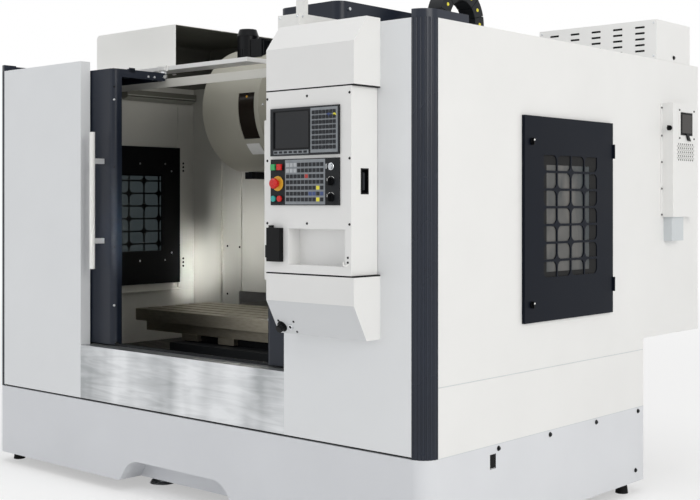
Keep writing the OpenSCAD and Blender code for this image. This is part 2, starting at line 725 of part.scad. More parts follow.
inner_x = half_w - sheet;
head_bay = [-drum_x0 - 36, 430];
hood_x = -702;
hood_y0 = 600;
hood_y1 = 1400;
hood_top = body_h + 241;
hood_r = 24;
roof_edge_x = 30;
module roof_plate(x, y) block(x, y, [body_h - sheet, body_h]);
module roof_panels() color("whitesmoke") placed() {
    // strip in front of the magazine, with its folded front edge
    roof_plate([-inner_x, roof_edge_x], [roof_y, hood_y0]);
    block([-liner_x + 6, roof_edge_x], [roof_y, roof_y + sheet], [body_h - roof_fold, body_h - sheet]);
    block([roof_edge_x - sheet, roof_edge_x], [roof_y + sheet, hood_y0], [body_h - roof_fold, body_h - sheet]);
    roof_plate([head_bay[1], inner_x], [roof_y, base_len]);
    block([head_bay[1], liner_x - 6], [roof_y, roof_y + sheet], [body_h - roof_fold, body_h - sheet]);
    block([head_bay[1], head_bay[1] + sheet], [roof_y + sheet, base_len], [body_h - roof_fold, body_h - sheet]);
    roof_plate([-inner_x, -column_w / 2 - 60], [hood_y1, upper_len - sheet]);
    roof_plate([head_bay[1], inner_x], [base_len + 4, upper_len - sheet]);
}
// section of the hood, inset by e on the folded side
module hood_section(e, low, right) union() {
    left = -half_w + sheet + e;
    top = hood_top - e;
    r = hood_r - e;
    translate([left, low]) square([right - left, top - low - r]);
    translate([left + r, low]) square([right - left - r, top - low]);
    translate([left + r, top - r]) circle(r = r);
}
module magazine_hood() color("whitesmoke") placed() difference() {
    along_y([hood_y0, hood_y1]) hood_section(0, body_h, hood_x);
    along_y([hood_y0 + sheet, hood_y1 - sheet]) hood_section(sheet, body_h - 1, hood_x + 1);
}

guard_half = 930;
guard_low = 790;
rear_bay_x = column_w / 2 + 60;
module rear_panels() color("whitesmoke") placed() {
    // inner guards on both sides of the head
    difference() {
        union() {
            block([-liner_x, head_bay[0]], [guard_y, guard_y + sheet], [sill_z, body_h - sheet]);
            block([head_bay[1] + sheet, liner_x], [guard_y, guard_y + sheet], [sill_z, body_h - sheet]);
            block([head_bay[0], -carriage_half - 20], [guard_y, guard_y + sheet], [guard_low, 1250]);
            block([-1066, -1062], [guard_y - 14, guard_y], [sill_z, body_h - roof_fold]);
            block([-944, -904], [guard_y - 10, guard_y], [guard_low, body_h - roof_fold]);
        }
        block([-guard_half, guard_half], [guard_y - 20, guard_y + sheet + 1], [sill_z - 1, guard_low]);
    }
    both_sides() {
        block([bed_half + 10, inner_x], [base_len - sheet, base_len], [base_top + sheet, overhang_z + sheet]);
        block([liner_x - 60, liner_x], [guard_y + sheet, base_len - sheet], [sill_z, sill_z + sheet]);
    }
    // outer rear wall and floor of the left rear compartment
    block([-inner_x + 30, -rear_bay_x], [upper_len - sheet, upper_len], [overhang_z, body_h]);
    block([-inner_x + 30, -rear_bay_x], [base_len, upper_len - sheet], [overhang_z, overhang_z + sheet]);
    for (i = [0:9]) block([-1150, -650], [upper_len, upper_len + 8], [900 + i * 40, 912 + i * 40]);
}
module inner_liner() color("lightgray") placed() {
    both_sides() difference() {
        block([liner_x, liner_x + sheet], [sill_d + 4, guard_y], [tray_edge_z + sheet, body_h - sheet]);
        window_hole([liner_x - 1, liner_x + sheet + 1]);
    }
    // the left sheet goes on behind the rim of the shorter inner window
    block([-liner_x - sheet, -liner_x], [window_y + inner_frame_l - 30, window_y + window_l - 28],
          [window_z + 28, window_z + window_h - 28]);
}
tray_edge_z = bed_top + 40;
module chip_tray() color("silver") placed() {
    both_sides() along_y([sill_d + 4, base_len - sheet - 2])
        polygon([
            [bed_half + 4, bed_top], [liner_x, tray_edge_z], [liner_x, tray_edge_z + sheet],
            [bed_half, bed_top + sheet], [bed_half - 36, bed_top + sheet], [bed_half - 36, bed_top]
        ]);
    block([-liner_x, liner_x], [sill_d, sill_d + 4], [bed_top, sill_z]);
    way_cover(0);
}

// Electrical cabinet with its louvre box and the door at the back

cabinet_x = 730;
cabinet_y1 = upper_len - 12;
louvre_y = [1684, 2015];
louvre_top = 2105;
louvre_cols = 5;
louvre_rows = 5;
door_edge = 6;
rear_gap = 0.5;
module cabinet_hollow(e) block([cabinet_x + e, inner_x - 30 - e], [base_len + e, cabinet_y1 + 1], [overhang_z + sheet + e, body_h - sheet - e]);
module electrical_cabinet() color("whitesmoke") placed() {
    difference() {
        block([cabinet_x, inner_x - 30], [base_len, cabinet_y1], [overhang_z, body_h - sheet]);
        cabinet_hollow(sheet);
    }
    block([cabinet_x + 60, inner_x - 90], [base_len + 40, base_len + 60], [overhang_z + 100, body_h - 120]);
    for (i = [0:3])
        block([cabinet_x + 90, inner_x - 130], [base_len + 60, base_len + 180], [overhang_z + 180 + i * 260, overhang_z + 330 + i * 260]);
    block([cabinet_x + 60, cabinet_x + 120], [base_len + sheet, base_len + 40], [overhang_z + 200, overhang_z + 260]);
    block([inner_x - 150, inner_x - 90], [base_len + sheet, base_len + 40], [body_h - 260, body_h - 200]);
    difference() {
        block([cabinet_x, half_w], louvre_y, [body_h, louvre_top]);
        block([cabinet_x + sheet, half_w - sheet], [louvre_y[0] + sheet, louvre_y[1] - sheet], [body_h - 1, louvre_top - sheet]);
        for (i = [0:louvre_cols - 1], j = [0:louvre_rows - 1])
            block([cabinet_x + 60 + i * 113, cabinet_x + 108 + i * 113], [louvre_y[0] - 1, louvre_y[0] + sheet + 1],
                  [body_h + 38 + j * 27, body_h + 47 + j * 27]);
    }
}
hinge_x = inner_x - 30 - door_edge;
hinge_y = cabinet_y1 + 9;
module cabinet_door() color("whitesmoke") placed() {
    block([cabinet_x, hinge_x - 4], [cabinet_y1 + rear_gap, cabinet_y1 + 8],
          [overhang_z + door_edge, body_h - sheet - door_edge]);
    for (z = [900, 1300, 1700]) bar_z(hinge_x, hinge_y, [z, z + 60], 8);
    for (z = [1000, 1600]) block([cabinet_x + 30, cabinet_x + 50], [cabinet_y1 + 8, upper_len + latch_out], [z, z + 90]);
}

power_y = [1735, 1985];
power_z = [1211, 1728];
duct_z = 1102;
vent_z = 1480;
switch_x = 40;
switch_z = 1614;
module power_box() color("whitesmoke") placed() {
    difference() {
        block([half_w, half_w + power_out], power_y, power_z);
        block([half_w - 1, half_w + power_out - sheet], [power_y[0] + sheet, power_y[1] - sheet],
              [power_z[0] + sheet, power_z[1] - sheet]);
        for (i = [0:8], j = [0:3]) bar_x([half_w + power_out - 10, half_w + power_out + 1],
            power_y[0] + 45 + i * 20, vent_z + j * 18, 4.5);
    }
    block([half_w, half_w + 3], [power_y[0] - 14, power_y[0]], power_z);
    block([half_w + power_out, half_w + power_out + cover_out], [power_y[0] + 73, power_y[0] + 186], [1584, 1688]);
    block([half_w, half_w + 40], [power_y[0] + 17, power_y[0] + 132], [duct_z, power_z[0]]);
}
module main_switch() color("dimgray") placed() {
    bar_y(half_w + switch_x, [power_y[0] - 10.5, power_y[0] - 0.5], switch_z, 11);
    block([half_w + switch_x - 4, half_w + switch_x + 4], [power_y[0] - 20, power_y[0] - 10], [switch_z - 11, switch_z + 11]);
}

// Side windows with leaf shaped openings

leaf_rise = 11;
module leaf(w, h) {
    // a rectangle with two opposite corners rounded
    union() {
        translate([leaf_r, 0]) square([w - leaf_r, h - leaf_r]);
        translate([0, leaf_r]) square([w - leaf_r, h - leaf_r]);
        translate([leaf_r, leaf_r]) circle(r = leaf_r, $fn = 24);
        translate([w - leaf_r, h - leaf_r]) circle(r = leaf_r, $fn = 24);
    }
}
module leaf_grid() {
    w = leaf_pitch_y - leaf_bar;
    h = leaf_pitch_z - leaf_bar;
    y0 = window_y + (window_l - leaf_cols * leaf_pitch_y + leaf_bar) / 2;
    z0 = window_z + leaf_rise + (window_h - leaf_rows * leaf_pitch_z + leaf_bar) / 2;
    for (i = [0:leaf_cols - 1], j = [0:leaf_rows - 1])
        translate([y0 + i * leaf_pitch_y, z0 + j * leaf_pitch_z])
            if ((i + j) % 2 == 0) leaf(w, h);
            else translate([w, 0]) mirror([1, 0]) leaf(w, h);
}
module window_frame() {
    difference() {
        block([half_w + 0.5, half_w + frame_t], [window_y, window_y + window_l], [window_z, window_z + window_h]);
        along_x([half_w - 1, half_w + frame_t + 1]) leaf_grid();
        block([half_w - 1, half_w + frame_t - 5], [window_y + 60, window_y + window_l - 60],
              [window_z + 60, window_z + window_h - 60]);
    }
}
pane_t = 4;
inner_frame_l = 545;
inner_rim = 130;
module window_pane()
    block([half_w + frame_t - 5 - pane_t, half_w + frame_t - 5], [window_y + 60, window_y + window_l - 60],
          [window_z + 60, window_z + window_h - 60]);
module inner_window() {
    difference() {
        block([liner_x - 10, liner_x], [window_y, window_y + inner_frame_l], [window_z + 17, window_z + window_h - 28]);
        block([liner_x - 11, liner_x + 1], [window_y + inner_rim, window_y + inner_frame_l - inner_rim],
              [window_z + 200, window_z + window_h - 177]);
    }
}
module left_window() color("darkslategray") placed() mirror([1, 0, 0]) {
    window_frame();
    window_pane();
    inner_window();
}
latch_y = window_y + 50;
module side_window() color("darkslategray") placed() {
    window_frame();
    window_pane();
    for (z = [window_z + 70, window_z + window_h - 100]) {
        bar_x([half_w + frame_t, half_w + frame_t + 5], latch_y, z, 14);
        block([half_w + frame_t + 5, half_w + frame_t + 12], [latch_y - 4, latch_y + 4], [z - 13, z + 13]);
    }
    for (z = [window_z + 90, window_z + window_h - 150])
        bar_z(half_w + frame_t + 3, window_y + window_l + 3, [z, z + 60], 5);
}

// Sliding doors

rail_y = 372;
rail_z = 1860;
roller_r = 18;
door_z0 = sill_z + 8;
guide_y = 80;
module door_rails() color("silver") placed() {
    block([-liner_x, liner_x], [rail_y, rail_y + 6], [rail_z - 40, rail_z]);
    block([-half_open, half_open], [guide_y, guide_y + 6], [sill_z, sill_z + 12]);
}
module door_plan() {
    r = 30;
    difference() {
        union() {
            translate([door_open, door_y + r]) square([door_w, door_depth - r]);
            translate([door_open + r, door_y]) square([door_w - r, r]);
            translate([door_open + r, door_y + r]) circle(r = r);
        }
        translate([door_open + r, door_y + r]) circle(r = r - sheet);
        translate([door_open + r, door_y + sheet]) square([door_w - r - sheet, door_depth]);
        translate([door_open + sheet, door_y + r]) square([r, door_depth - r - sheet]);
    }
}
glass_x = [door_open + 210, door_open + door_w - 60];
glass_z = [950, 1700];
module sliding_door() {
    difference() {
        along_z([door_z0, door_top]) door_plan();
        block(glass_x, [door_y - 1, door_y + sheet + 1], glass_z);
        block([door_open - 1, door_open + door_w + 1], [guide_y - 6, guide_y + 12], [door_z0 - 1, sill_z + 18]);
    }
    difference() {
        block([door_open, door_open + door_w], [door_y + door_depth, door_roof_y], [door_top - door_fold, door_top]);
        block([door_open + sheet, door_open + door_w - sheet], [door_y + door_depth - 1, door_roof_y - sheet],
              [door_top - door_fold - 1, door_top - sheet]);
    }
    block([door_open + sheet, door_open + door_w - sheet], [door_y + sheet, door_y + door_depth], [door_top - sheet, door_top]);
    for (x = [door_open + 30, door_open + door_w - 30]) {
        bar_y(x, [door_roof_y, rail_y - 6], rail_z + roller_r + slide_gap - 10, 6);
        bar_y(x, [rail_y - 6, rail_y + 12], rail_z + roller_r + slide_gap, roller_r);
    }
}
bracket_z = [126, 488];
module handle_form() {
    x = door_open + handle_in;
    bar_z(x, 0, [handle_z, handle_z + handle_len], handle_d / 2);
    for (z = bracket_z) block([x - 10, x + 10], [handle_d / 4, door_y], [handle_z + z - 12, handle_z + z + 12]);
}
module glass_form() block([glass_x[0] - 12, glass_x[1] + 12], [door_y + sheet, door_y + sheet + 5], [glass_z[0] - 12, glass_z[1] + 12]);
module right_door() color("darkslategray") placed() sliding_door();
module right_handle() color("white") placed() handle_form();
module right_glass() color("lightblue") placed() glass_form();
module left_door() color("darkslategray") placed() mirror([1, 0, 0]) sliding_door();
module left_handle() color("white") placed() mirror([1, 0, 0]) handle_form();
module left_glass() color("lightblue") placed() mirror([1, 0, 0]) glass_form();

lamp_y = [737, 1224];
lamp_top = body_h - 38;
lamp_d = 50;
module work_lamp() color("dimgray") placed() along_y(lamp_y)
    polygon([
        [-liner_x, lamp_top - 50], [-liner_x + lamp_d, lamp_top - 34], [-liner_x + lamp_d, lamp_top], [-liner_x, lamp_top]
    ]);

// Console

console_x1 = console_x + console_w;
face_y = -console_out;
pin_x = console_x + 12;
pin_y = face_y + 14;
pin_r = 6;
box_gap = 2;
box_x1 = console_x1 - 12;
module console_side(e) polygon([
    [0, console_z0 + e], [-console_edge + e, console_z0 + e], [face_y + e, console_z0 + bevel_low],
    [face_y + e, console_z1 - bevel_high], [-console_edge + e, console_z1 - e], [0, console_z1 - e]
]);
module console_part(z) intersection() {
    difference() {
        along_x([console_x, console_x1]) console_side(0);
        along_x([console_x + sheet, console_x1 - sheet]) console_side(sheet);
    }
    block([console_x, console_x1], [face_y, 0], z);
}
module console_mount() color("whitesmoke") placed() {
    console_part([console_z0, box_z0]);
    block([console_x, console_x1], [face_y, 0], [box_z0 - sheet, box_z0]);
    bar_z(pin_x, pin_y, [box_z0, box_z0 + 5], pin_r);
    console_part([box_z1, console_z1]);
    block([console_x, console_x1], [face_y, 0], [box_z1, box_z1 + sheet]);
    bar_z(pin_x, pin_y, [box_z1 - 5, box_z1], pin_r);
}
tray_x = [821, 1099];
tray_z = [1049, 1181];
tray_d = 60;
unit_x = [734, 1077];
unit_z = [1447, 1622];
panel_z = [1266, 1435];
module console_box() color("whitesmoke") placed() difference() {
    union() {
        difference() {
            block([console_x, box_x1], [face_y, -box_gap], [box_z0 + box_gap, box_z1 - box_gap]);
            block([console_x + sheet, box_x1 - sheet], [face_y + sheet, -box_gap - sheet],
                  [box_z0 + box_gap + sheet, box_z1 - box_gap - sheet]);
        }
        block([tray_x[0] - sheet, tray_x[1] + sheet], [face_y, face_y + tray_d + sheet], [tray_z[0] - sheet, tray_z[1] + sheet]);
    }
    block(tray_x, [face_y - 1, face_y + tray_d], tray_z);
    for (z = [box_z0, box_z1 - 8]) bar_z(pin_x, pin_y, [z, z + 8], pin_r + fit);
    block([unit_x[0] + 8, unit_x[1] - 8], [face_y - 1, face_y + sheet + 1], [unit_z[0] + 8, unit_z[1] - 8]);
    block([unit_x[0] + 8, unit_x[1] - 8], [face_y - 1, face_y + sheet + 1], [panel_z[0] + 8, panel_z[1] - 8]);
    block([box_x1 - 20, box_x1 + 1], [-92, -52], [1306, 1396]);
}
module console_fittings() color("dimgray") placed() {
    // holder for the hand unit, and the recessed pull on the side of the box
    block([726, 795], [face_y - 22, face_y], [1058, 1183]);
    block([714, 727], [face_y - 16, face_y], [1072, 1118]);
    block([732, 746], [face_y - 16, face_y], [1182, 1192]);
    difference() {
        block([box_x1 - 20, box_x1], [-92, -52], [1306, 1396]);
        block([box_x1 - 17, box_x1 + 1], [-89, -55], [1309, 1393]);
    }
}
key_rows = 8;
key_cols = 7;
module display_unit() color("dimgray") placed() difference() {
    union() {
        block(unit_x, [face_y - 8, face_y], unit_z);
        block([unit_x[0] + 9, unit_x[1] - 9], [face_y, face_y + 60], [unit_z[0] + 9, unit_z[1] - 9]);
        for (i = [0:key_cols - 1], j = [0:key_rows - 1])
            block([unit_x[0] + 214 + i * 17, unit_x[0] + 227 + i * 17], [face_y - 11, face_y - 7],
                  [unit_z[0] + 20 + j * 18, unit_z[0] + 33 + j * 18]);
        for (i = [0:6]) block([unit_x[0] + 22 + i * 25, unit_x[0] + 38 + i * 25], [face_y - 10, face_y - 7],
                              [unit_z[0] + 9, unit_z[0] + 17]);
    }
    block([unit_x[0] + 18, unit_x[0] + 196], [face_y - 9, face_y - 4], [unit_z[0] + 28, unit_z[1] - 14]);
}

// Buttons on the operator panel: position of each in X and Z
on_at = [755, 1406];
off_at = [787, 1406];
stop_at = [772, 1346];
start_at = [755, 1290];
hold_at = [787, 1290];
key_at = [1038, 1404];
feed_at = [1038, 1350];
speed_at = [1038, 1293];
shank_r = button_d / 2 - 2;
panel_t = 6;
shank_l = 30;
module operator_panel() color("dimgray") placed() difference() {
    union() {
        block(unit_x, [face_y - panel_t, face_y], panel_z);
        block([unit_x[0] + 9, unit_x[1] - 9], [face_y, face_y + 12], [panel_z[0] + 9, panel_z[1] - 9]);
        for (i = [0:9], j = [0:6])
            block([816 + i * 19, 831 + i * 19], [face_y - panel_t - 2, face_y - panel_t + 1], [1280 + j * 21, 1294 + j * 21]);
    }
    for (p = [on_at, off_at, stop_at, start_at, hold_at, key_at, feed_at, speed_at])
        bar_y(p[0], [face_y - panel_t - 1, face_y + 13], p[1], shank_r + fit);
}
module shank(p) bar_y(p[0], [face_y - panel_t - button_travel - 1, face_y - panel_t + shank_l], p[1], shank_r);
module square_button(p) {
    shank(p);
    block([p[0] - button_d / 2, p[0] + button_d / 2], [face_y - panel_t - button_travel - 8, face_y - panel_t - button_travel - 0.5],
          [p[1] - button_d / 2, p[1] + button_d / 2]);
}
module round_button(p) {
    shank(p);
    bar_y(p[0], [face_y - panel_t - button_travel - 7, face_y - panel_t - button_travel - 0.5], p[1], button_d / 2);
}
module on_button() color("limegreen") placed() square_button(on_at);
module off_button() color("red") placed() square_button(off_at);
module start_button() color("teal") placed() round_button(start_at);
module hold_button() color("red") placed() round_button(hold_at);
module stop_mushroom() color("red") placed() {
    shank(stop_at);
    translate([stop_at[0], face_y - panel_t - button_travel - 0.5, stop_at[1]]) rotate([90, 0, 0]) {
        cylinder(h = 14, r = stop_d / 2 - 7);
        translate([0, 0, 13]) cylinder(h = 8, r1 = stop_d / 2, r2 = stop_d / 2 - 1);
        translate([0, 0, 21]) cylinder(h = 6, r1 = stop_d / 2 - 1, r2 = stop_d / 2 - 6);
    }
}
module knob(p, r) {
    bar_y(p[0], [face_y - panel_t - 1, face_y - panel_t + shank_l], p[1], shank_r);
    bar_y(p[0], [face_y - panel_t - 8, face_y - panel_t - 0.5], p[1], r);
}
module key_switch() color("silver") placed() {
    knob(key_at, 11);
    block([key_at[0] - 1.5, key_at[0] + 1.5], [face_y - panel_t - 26, face_y - panel_t - 7], [key_at[1] - 9, key_at[1] + 9]);
}
module rotary(p) {
    knob(p, 14);
    block([p[0] - 4, p[0] + 4], [face_y - panel_t - 20, face_y - panel_t - 7], [p[1] - 13, p[1] + 13]);
}
module feed_knob() color("black") placed() rotary(feed_at);
module speed_knob() color("black") placed() rotary(speed_at);

// Signal tower behind the console, and the chain that carries the head's cables

box_x = [603, 717];
box_y = [20, 300];
box_top = body_h + 77;
post_w = 45;
post_y = [50, 70];
post_top = box_top + 58;
tower_at = [box_x[1] - post_w / 2, (post_y[0] + post_y[1]) / 2];
pole_r = 13;
lamp_z0 = 2214;
lamp_h = 60;
module signal_tower() color("whitesmoke") placed() {
    // wiring box on the front panel, with a post at its corner
    difference() {
        block(box_x, box_y, [body_h, box_top]);
        block([box_x[0] + sheet, box_x[1] - sheet], [box_y[0] + sheet, box_y[1] - sheet], [body_h - 1, box_top - sheet]);
    }
    block([box_x[1] - post_w, box_x[1]], post_y, [box_top - 1, post_top]);
    translate([tower_at[0], tower_at[1], 0]) {
        bar_z(0, 0, [post_top - 1, lamp_z0 - 4], pole_r);
        for (i = [0:2]) bar_z(0, 0, [lamp_z0 + i * (lamp_h + 6), lamp_z0 + lamp_h + i * (lamp_h + 6)], 32);
        bar_z(0, 0, [lamp_z0 - 6, lamp_z0 + 3 * lamp_h + 14], 18);
        bar_z(0, 0, [lamp_z0 + 3 * lamp_h + 13, lamp_z0 + 3 * lamp_h + 26], 30);
    }
}

// One run of the chain ends in a duct on the head, the other in a duct on the column.
chain_x = [318, 405];
chain_h = 74;
chain_y = [1360, 1642];
chain_r = (chain_y[1] - chain_y[0]) / 2;
chain_top_z = 2168;
chain_low = [1730, 1880];
chain_arm_z = [1800, 1900];
link_pitch = 70;
duct_fit = 0.8;
module cable_duct(y, z) difference() {
    side = chain_h / 2 + duct_fit;
    block([column_w / 2, chain_x[1] + duct_fit + sheet], [y - side - sheet, y + side + sheet], z);
    block([chain_x[0] - duct_fit, chain_x[1] + duct_fit], [y - side, y + side], [z[0] + 6, z[1] + 1]);
}
module link_bar(y, z) block(chain_x, [y - chain_h / 2, y + chain_h / 2], z);
module link_gap(y, z) difference() {
    block([chain_x[0] - 1, chain_x[1] + 1], [y - chain_h, y + chain_h], [z, z + 3]);
    block([chain_x[0] + 5, chain_x[1] - 5], [y - chain_h / 2 + 5, y + chain_h / 2 - 5], [z - 1, z + 4]);
}
module drag_chain() color("black") placed() {
    mid = (chain_y[0] + chain_y[1]) / 2;
    difference() {
        union() {
            link_bar(chain_y[0], [chain_low[0], chain_top_z]);
            link_bar(chain_y[1], [chain_low[1], chain_top_z]);
            bar_x(chain_x, mid, chain_top_z, chain_r + chain_h / 2);
        }
        block([chain_x[0] - 1, chain_x[1] + 1], [chain_y[0] + chain_h / 2, chain_y[1] - chain_h / 2],
              [chain_low[0] - 1, chain_top_z]);
        bar_x([chain_x[0] - 1, chain_x[1] + 1], mid, chain_top_z, chain_r - chain_h / 2);
        for (n = [0, 1]) for (i = [0:floor((chain_top_z - chain_low[n]) / link_pitch) - 1])
            link_gap(chain_y[n], chain_top_z - (i + 0.5) * link_pitch);
        for (i = [0:5]) translate([0, mid, chain_top_z]) rotate([-30 * i - 15, 0, 0]) link_gap(-chain_r, -1.5);
    }
}

base_skirt();
bed_casting();
levelling_feet();
column_casting();
linear_rails();
drive_motors();
chip_tray();
front_panels();
front_apron();
left_side_panel();
right_side_panel();
corner_columns();
roof_panels();
magazine_hood();
rear_panels();
inner_liner();
electrical_cabinet();
power_box();
door_rails();
left_window();
magazine_cover();
arm_gearbox();
work_lamp();
console_mount();
signal_tower();
drag_chain();
left_door();
left_handle();
left_glass();
right_door();
right_handle();
right_glass();
saddle();
x_screw();
way_cover_mid();
table();
head_casting();
head_cover();
spindle();
y_screw();
z_screw();
magazine_disc();
change_pot();
arm_shaft();
exchange_arm();
console_box();
console_fittings();
display_unit();
operator_panel();
stop_mushroom();
on_button();
off_button();
start_button();
hold_button();
key_switch();
feed_knob();
speed_knob();
side_window();
main_switch();
cabinet_door();
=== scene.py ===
# %% [markdown]
# # A vertical machining centre
#
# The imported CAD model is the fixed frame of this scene: every node keeps its place and its body.
# The script gives each node a visual copy with rounded edges and a procedural finish, and adds
# the small things a sheet metal enclosure carries: screws, gaskets, keys, pin caps and vents.
# Lengths are written in millimetres in the machine frame (X from the centreline, Y back from the
# front panels, Z up from the floor), and `P()` turns them into metres in the frame of the row.

# %% Load the frame
import json
import math
import bmesh
import bpy
from mathutils import Matrix, Vector


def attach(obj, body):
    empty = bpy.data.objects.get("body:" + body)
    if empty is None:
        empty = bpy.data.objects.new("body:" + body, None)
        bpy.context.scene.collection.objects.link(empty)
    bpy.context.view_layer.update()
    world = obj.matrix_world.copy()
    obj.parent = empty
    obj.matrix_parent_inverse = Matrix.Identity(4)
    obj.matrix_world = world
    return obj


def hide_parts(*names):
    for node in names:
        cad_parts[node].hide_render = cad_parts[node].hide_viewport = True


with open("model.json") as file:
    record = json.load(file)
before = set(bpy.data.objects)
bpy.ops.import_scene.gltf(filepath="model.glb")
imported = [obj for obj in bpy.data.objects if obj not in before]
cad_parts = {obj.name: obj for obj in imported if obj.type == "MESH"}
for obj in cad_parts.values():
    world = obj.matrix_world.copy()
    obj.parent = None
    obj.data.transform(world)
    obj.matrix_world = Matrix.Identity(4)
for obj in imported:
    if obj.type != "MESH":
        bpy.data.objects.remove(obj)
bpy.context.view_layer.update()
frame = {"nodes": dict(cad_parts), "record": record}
nodes = frame["nodes"]
record = frame["record"]
body_of = {n: b for b, ns in record["behaviour"]["bodies"].items() for n in ns}
slot_of = {s["node"]: s["material_slot"] for s in record["subparts"]}
ROW_OFFSET = Vector((22.5, 965.5, 0.0))


def P(x, y, z):
    """A point in millimetres in the machine frame, as metres in the row frame."""
    return (Vector((x, y, z)) - ROW_OFFSET) / 1000


def machine_mm(point):
    """The other way round: a point of a CAD mesh, in millimetres in the machine frame."""
    return Vector(point) * 1000 + ROW_OFFSET


# %% [markdown]
# ## Small tools
#
# The pieces could be modelled by hand, but sizes typed in a script are exact and easy to change.
# `Shape` collects boxes, rods, tubes and prisms in one mesh, and `done()` turns it into an object
# with rounded edges that rides on a CAD body. `dress()` does the same for a CAD node: it copies
# the node's mesh, merges its flat triangles into faces, rounds the edges and stands in for it.
# A Bevel modifier does the rounding, because a knife sharp edge never catches the light.

# %% Colour and node helpers
def col(text):
    """sRGB hex to a linear colour."""
    v = [int(text[i:i + 2], 16) / 255 for i in (1, 3, 5)]
    return tuple(c / 12.92 if c <= 0.04045 else ((c + 0.055) / 1.055) ** 2.4 for c in v) + (1.0,)


def add(tree, kind, **inputs):
    """Adds a node. Inputs are values or sockets; in_N is the Nth input, _ stands for a space."""
    n = tree.nodes.new(kind)
    for key, value in inputs.items():
        if key.startswith("set_"):
            setattr(n, key[4:], value)
            continue
        name = key.replace("_", " ")
        sock = n.inputs[int(key[3:])] if key.startswith("in_") else n.inputs[name]
        if isinstance(value, bpy.types.NodeSocket):
            tree.links.new(value, sock)
        else:
            sock.default_value = value
    return n


MATS = {}


def surface(name, base, rough=0.4, metal=0.0, **extra):
    """A new material with one Principled shader; returns its tree, shader and coordinates."""
    m = bpy.data.materials.new(name)
    m.use_nodes = True
    t = m.node_tree
    t.nodes.clear()
    out = t.nodes.new("ShaderNodeOutputMaterial")
    s = add(t, "ShaderNodeBsdfPrincipled", Base_Color=col(base), Roughness=rough, Metallic=metal)
    for key, value in extra.items():
        s.inputs[key.replace("_", " ")].default_value = value
    t.links.new(s.outputs[0], out.inputs[0])
    co = add(t, "ShaderNodeTexCoord").outputs["Object"]
    MATS[name] = m
    return t, s, co


def vary(t, s, co, base, other, scale, amount, low, high):
    """Mottles colour and roughness with one noise; scale is in cycles a metre."""
    n = add(t, "ShaderNodeTexNoise", Vector=co, Scale=scale, Detail=3.0)
    mix = add(t, "ShaderNodeMix", set_data_type="RGBA", in_6=col(base), in_7=col(other))
    f = add(t, "ShaderNodeMapRange", in_0=n.outputs[0],
            in_1=0.5 - amount / 2, in_2=0.5 + amount / 2)
    t.links.new(f.outputs[0], mix.inputs[0])
    t.links.new(mix.outputs[2], s.inputs["Base Color"])
    r = add(t, "ShaderNodeMapRange", in_0=n.outputs[0], in_1=0.3, in_2=0.7, in_3=low, in_4=high)
    t.links.new(r.outputs[0], s.inputs["Roughness"])


print("Node helpers ready")


# %% Mesh helpers
def smooth(me):
    for p in me.polygons:
        p.use_smooth = True
    me.set_sharp_from_angle(angle=math.radians(35))


def bake(obj):
    """Applies the object's modifiers, so that its mesh is plain."""
    bpy.context.view_layer.update()
    made = obj.evaluated_get(bpy.context.evaluated_depsgraph_get())
    me = bpy.data.meshes.new_from_object(made)
    obj.modifiers.clear()
    obj.data = me


def link(name, me):
    obj = bpy.data.objects.new(name, me)
    bpy.context.scene.collection.objects.link(obj)
    return obj


def place(name, me, mat, body):
    """An object of the material mat that rides on a CAD body."""
    obj = link(name, me)
    me.materials.append(MATS[mat])
    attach(obj, body)
    return obj


def soften(obj, width, segments=2):
    """Rounds sharp edges by width in millimetres and keeps the flat faces flat to the light."""
    if width:
        b = obj.modifiers.new("edge", "BEVEL")
        b.width, b.segments = width / 1000, segments
        b.limit_method, b.angle_limit = "ANGLE", math.radians(32)
        b.use_clamp_overlap = True
        bake(obj)
    smooth(obj.data)
    w = obj.modifiers.new("normals", "WEIGHTED_NORMAL")
    w.keep_sharp = True
    bake(obj)


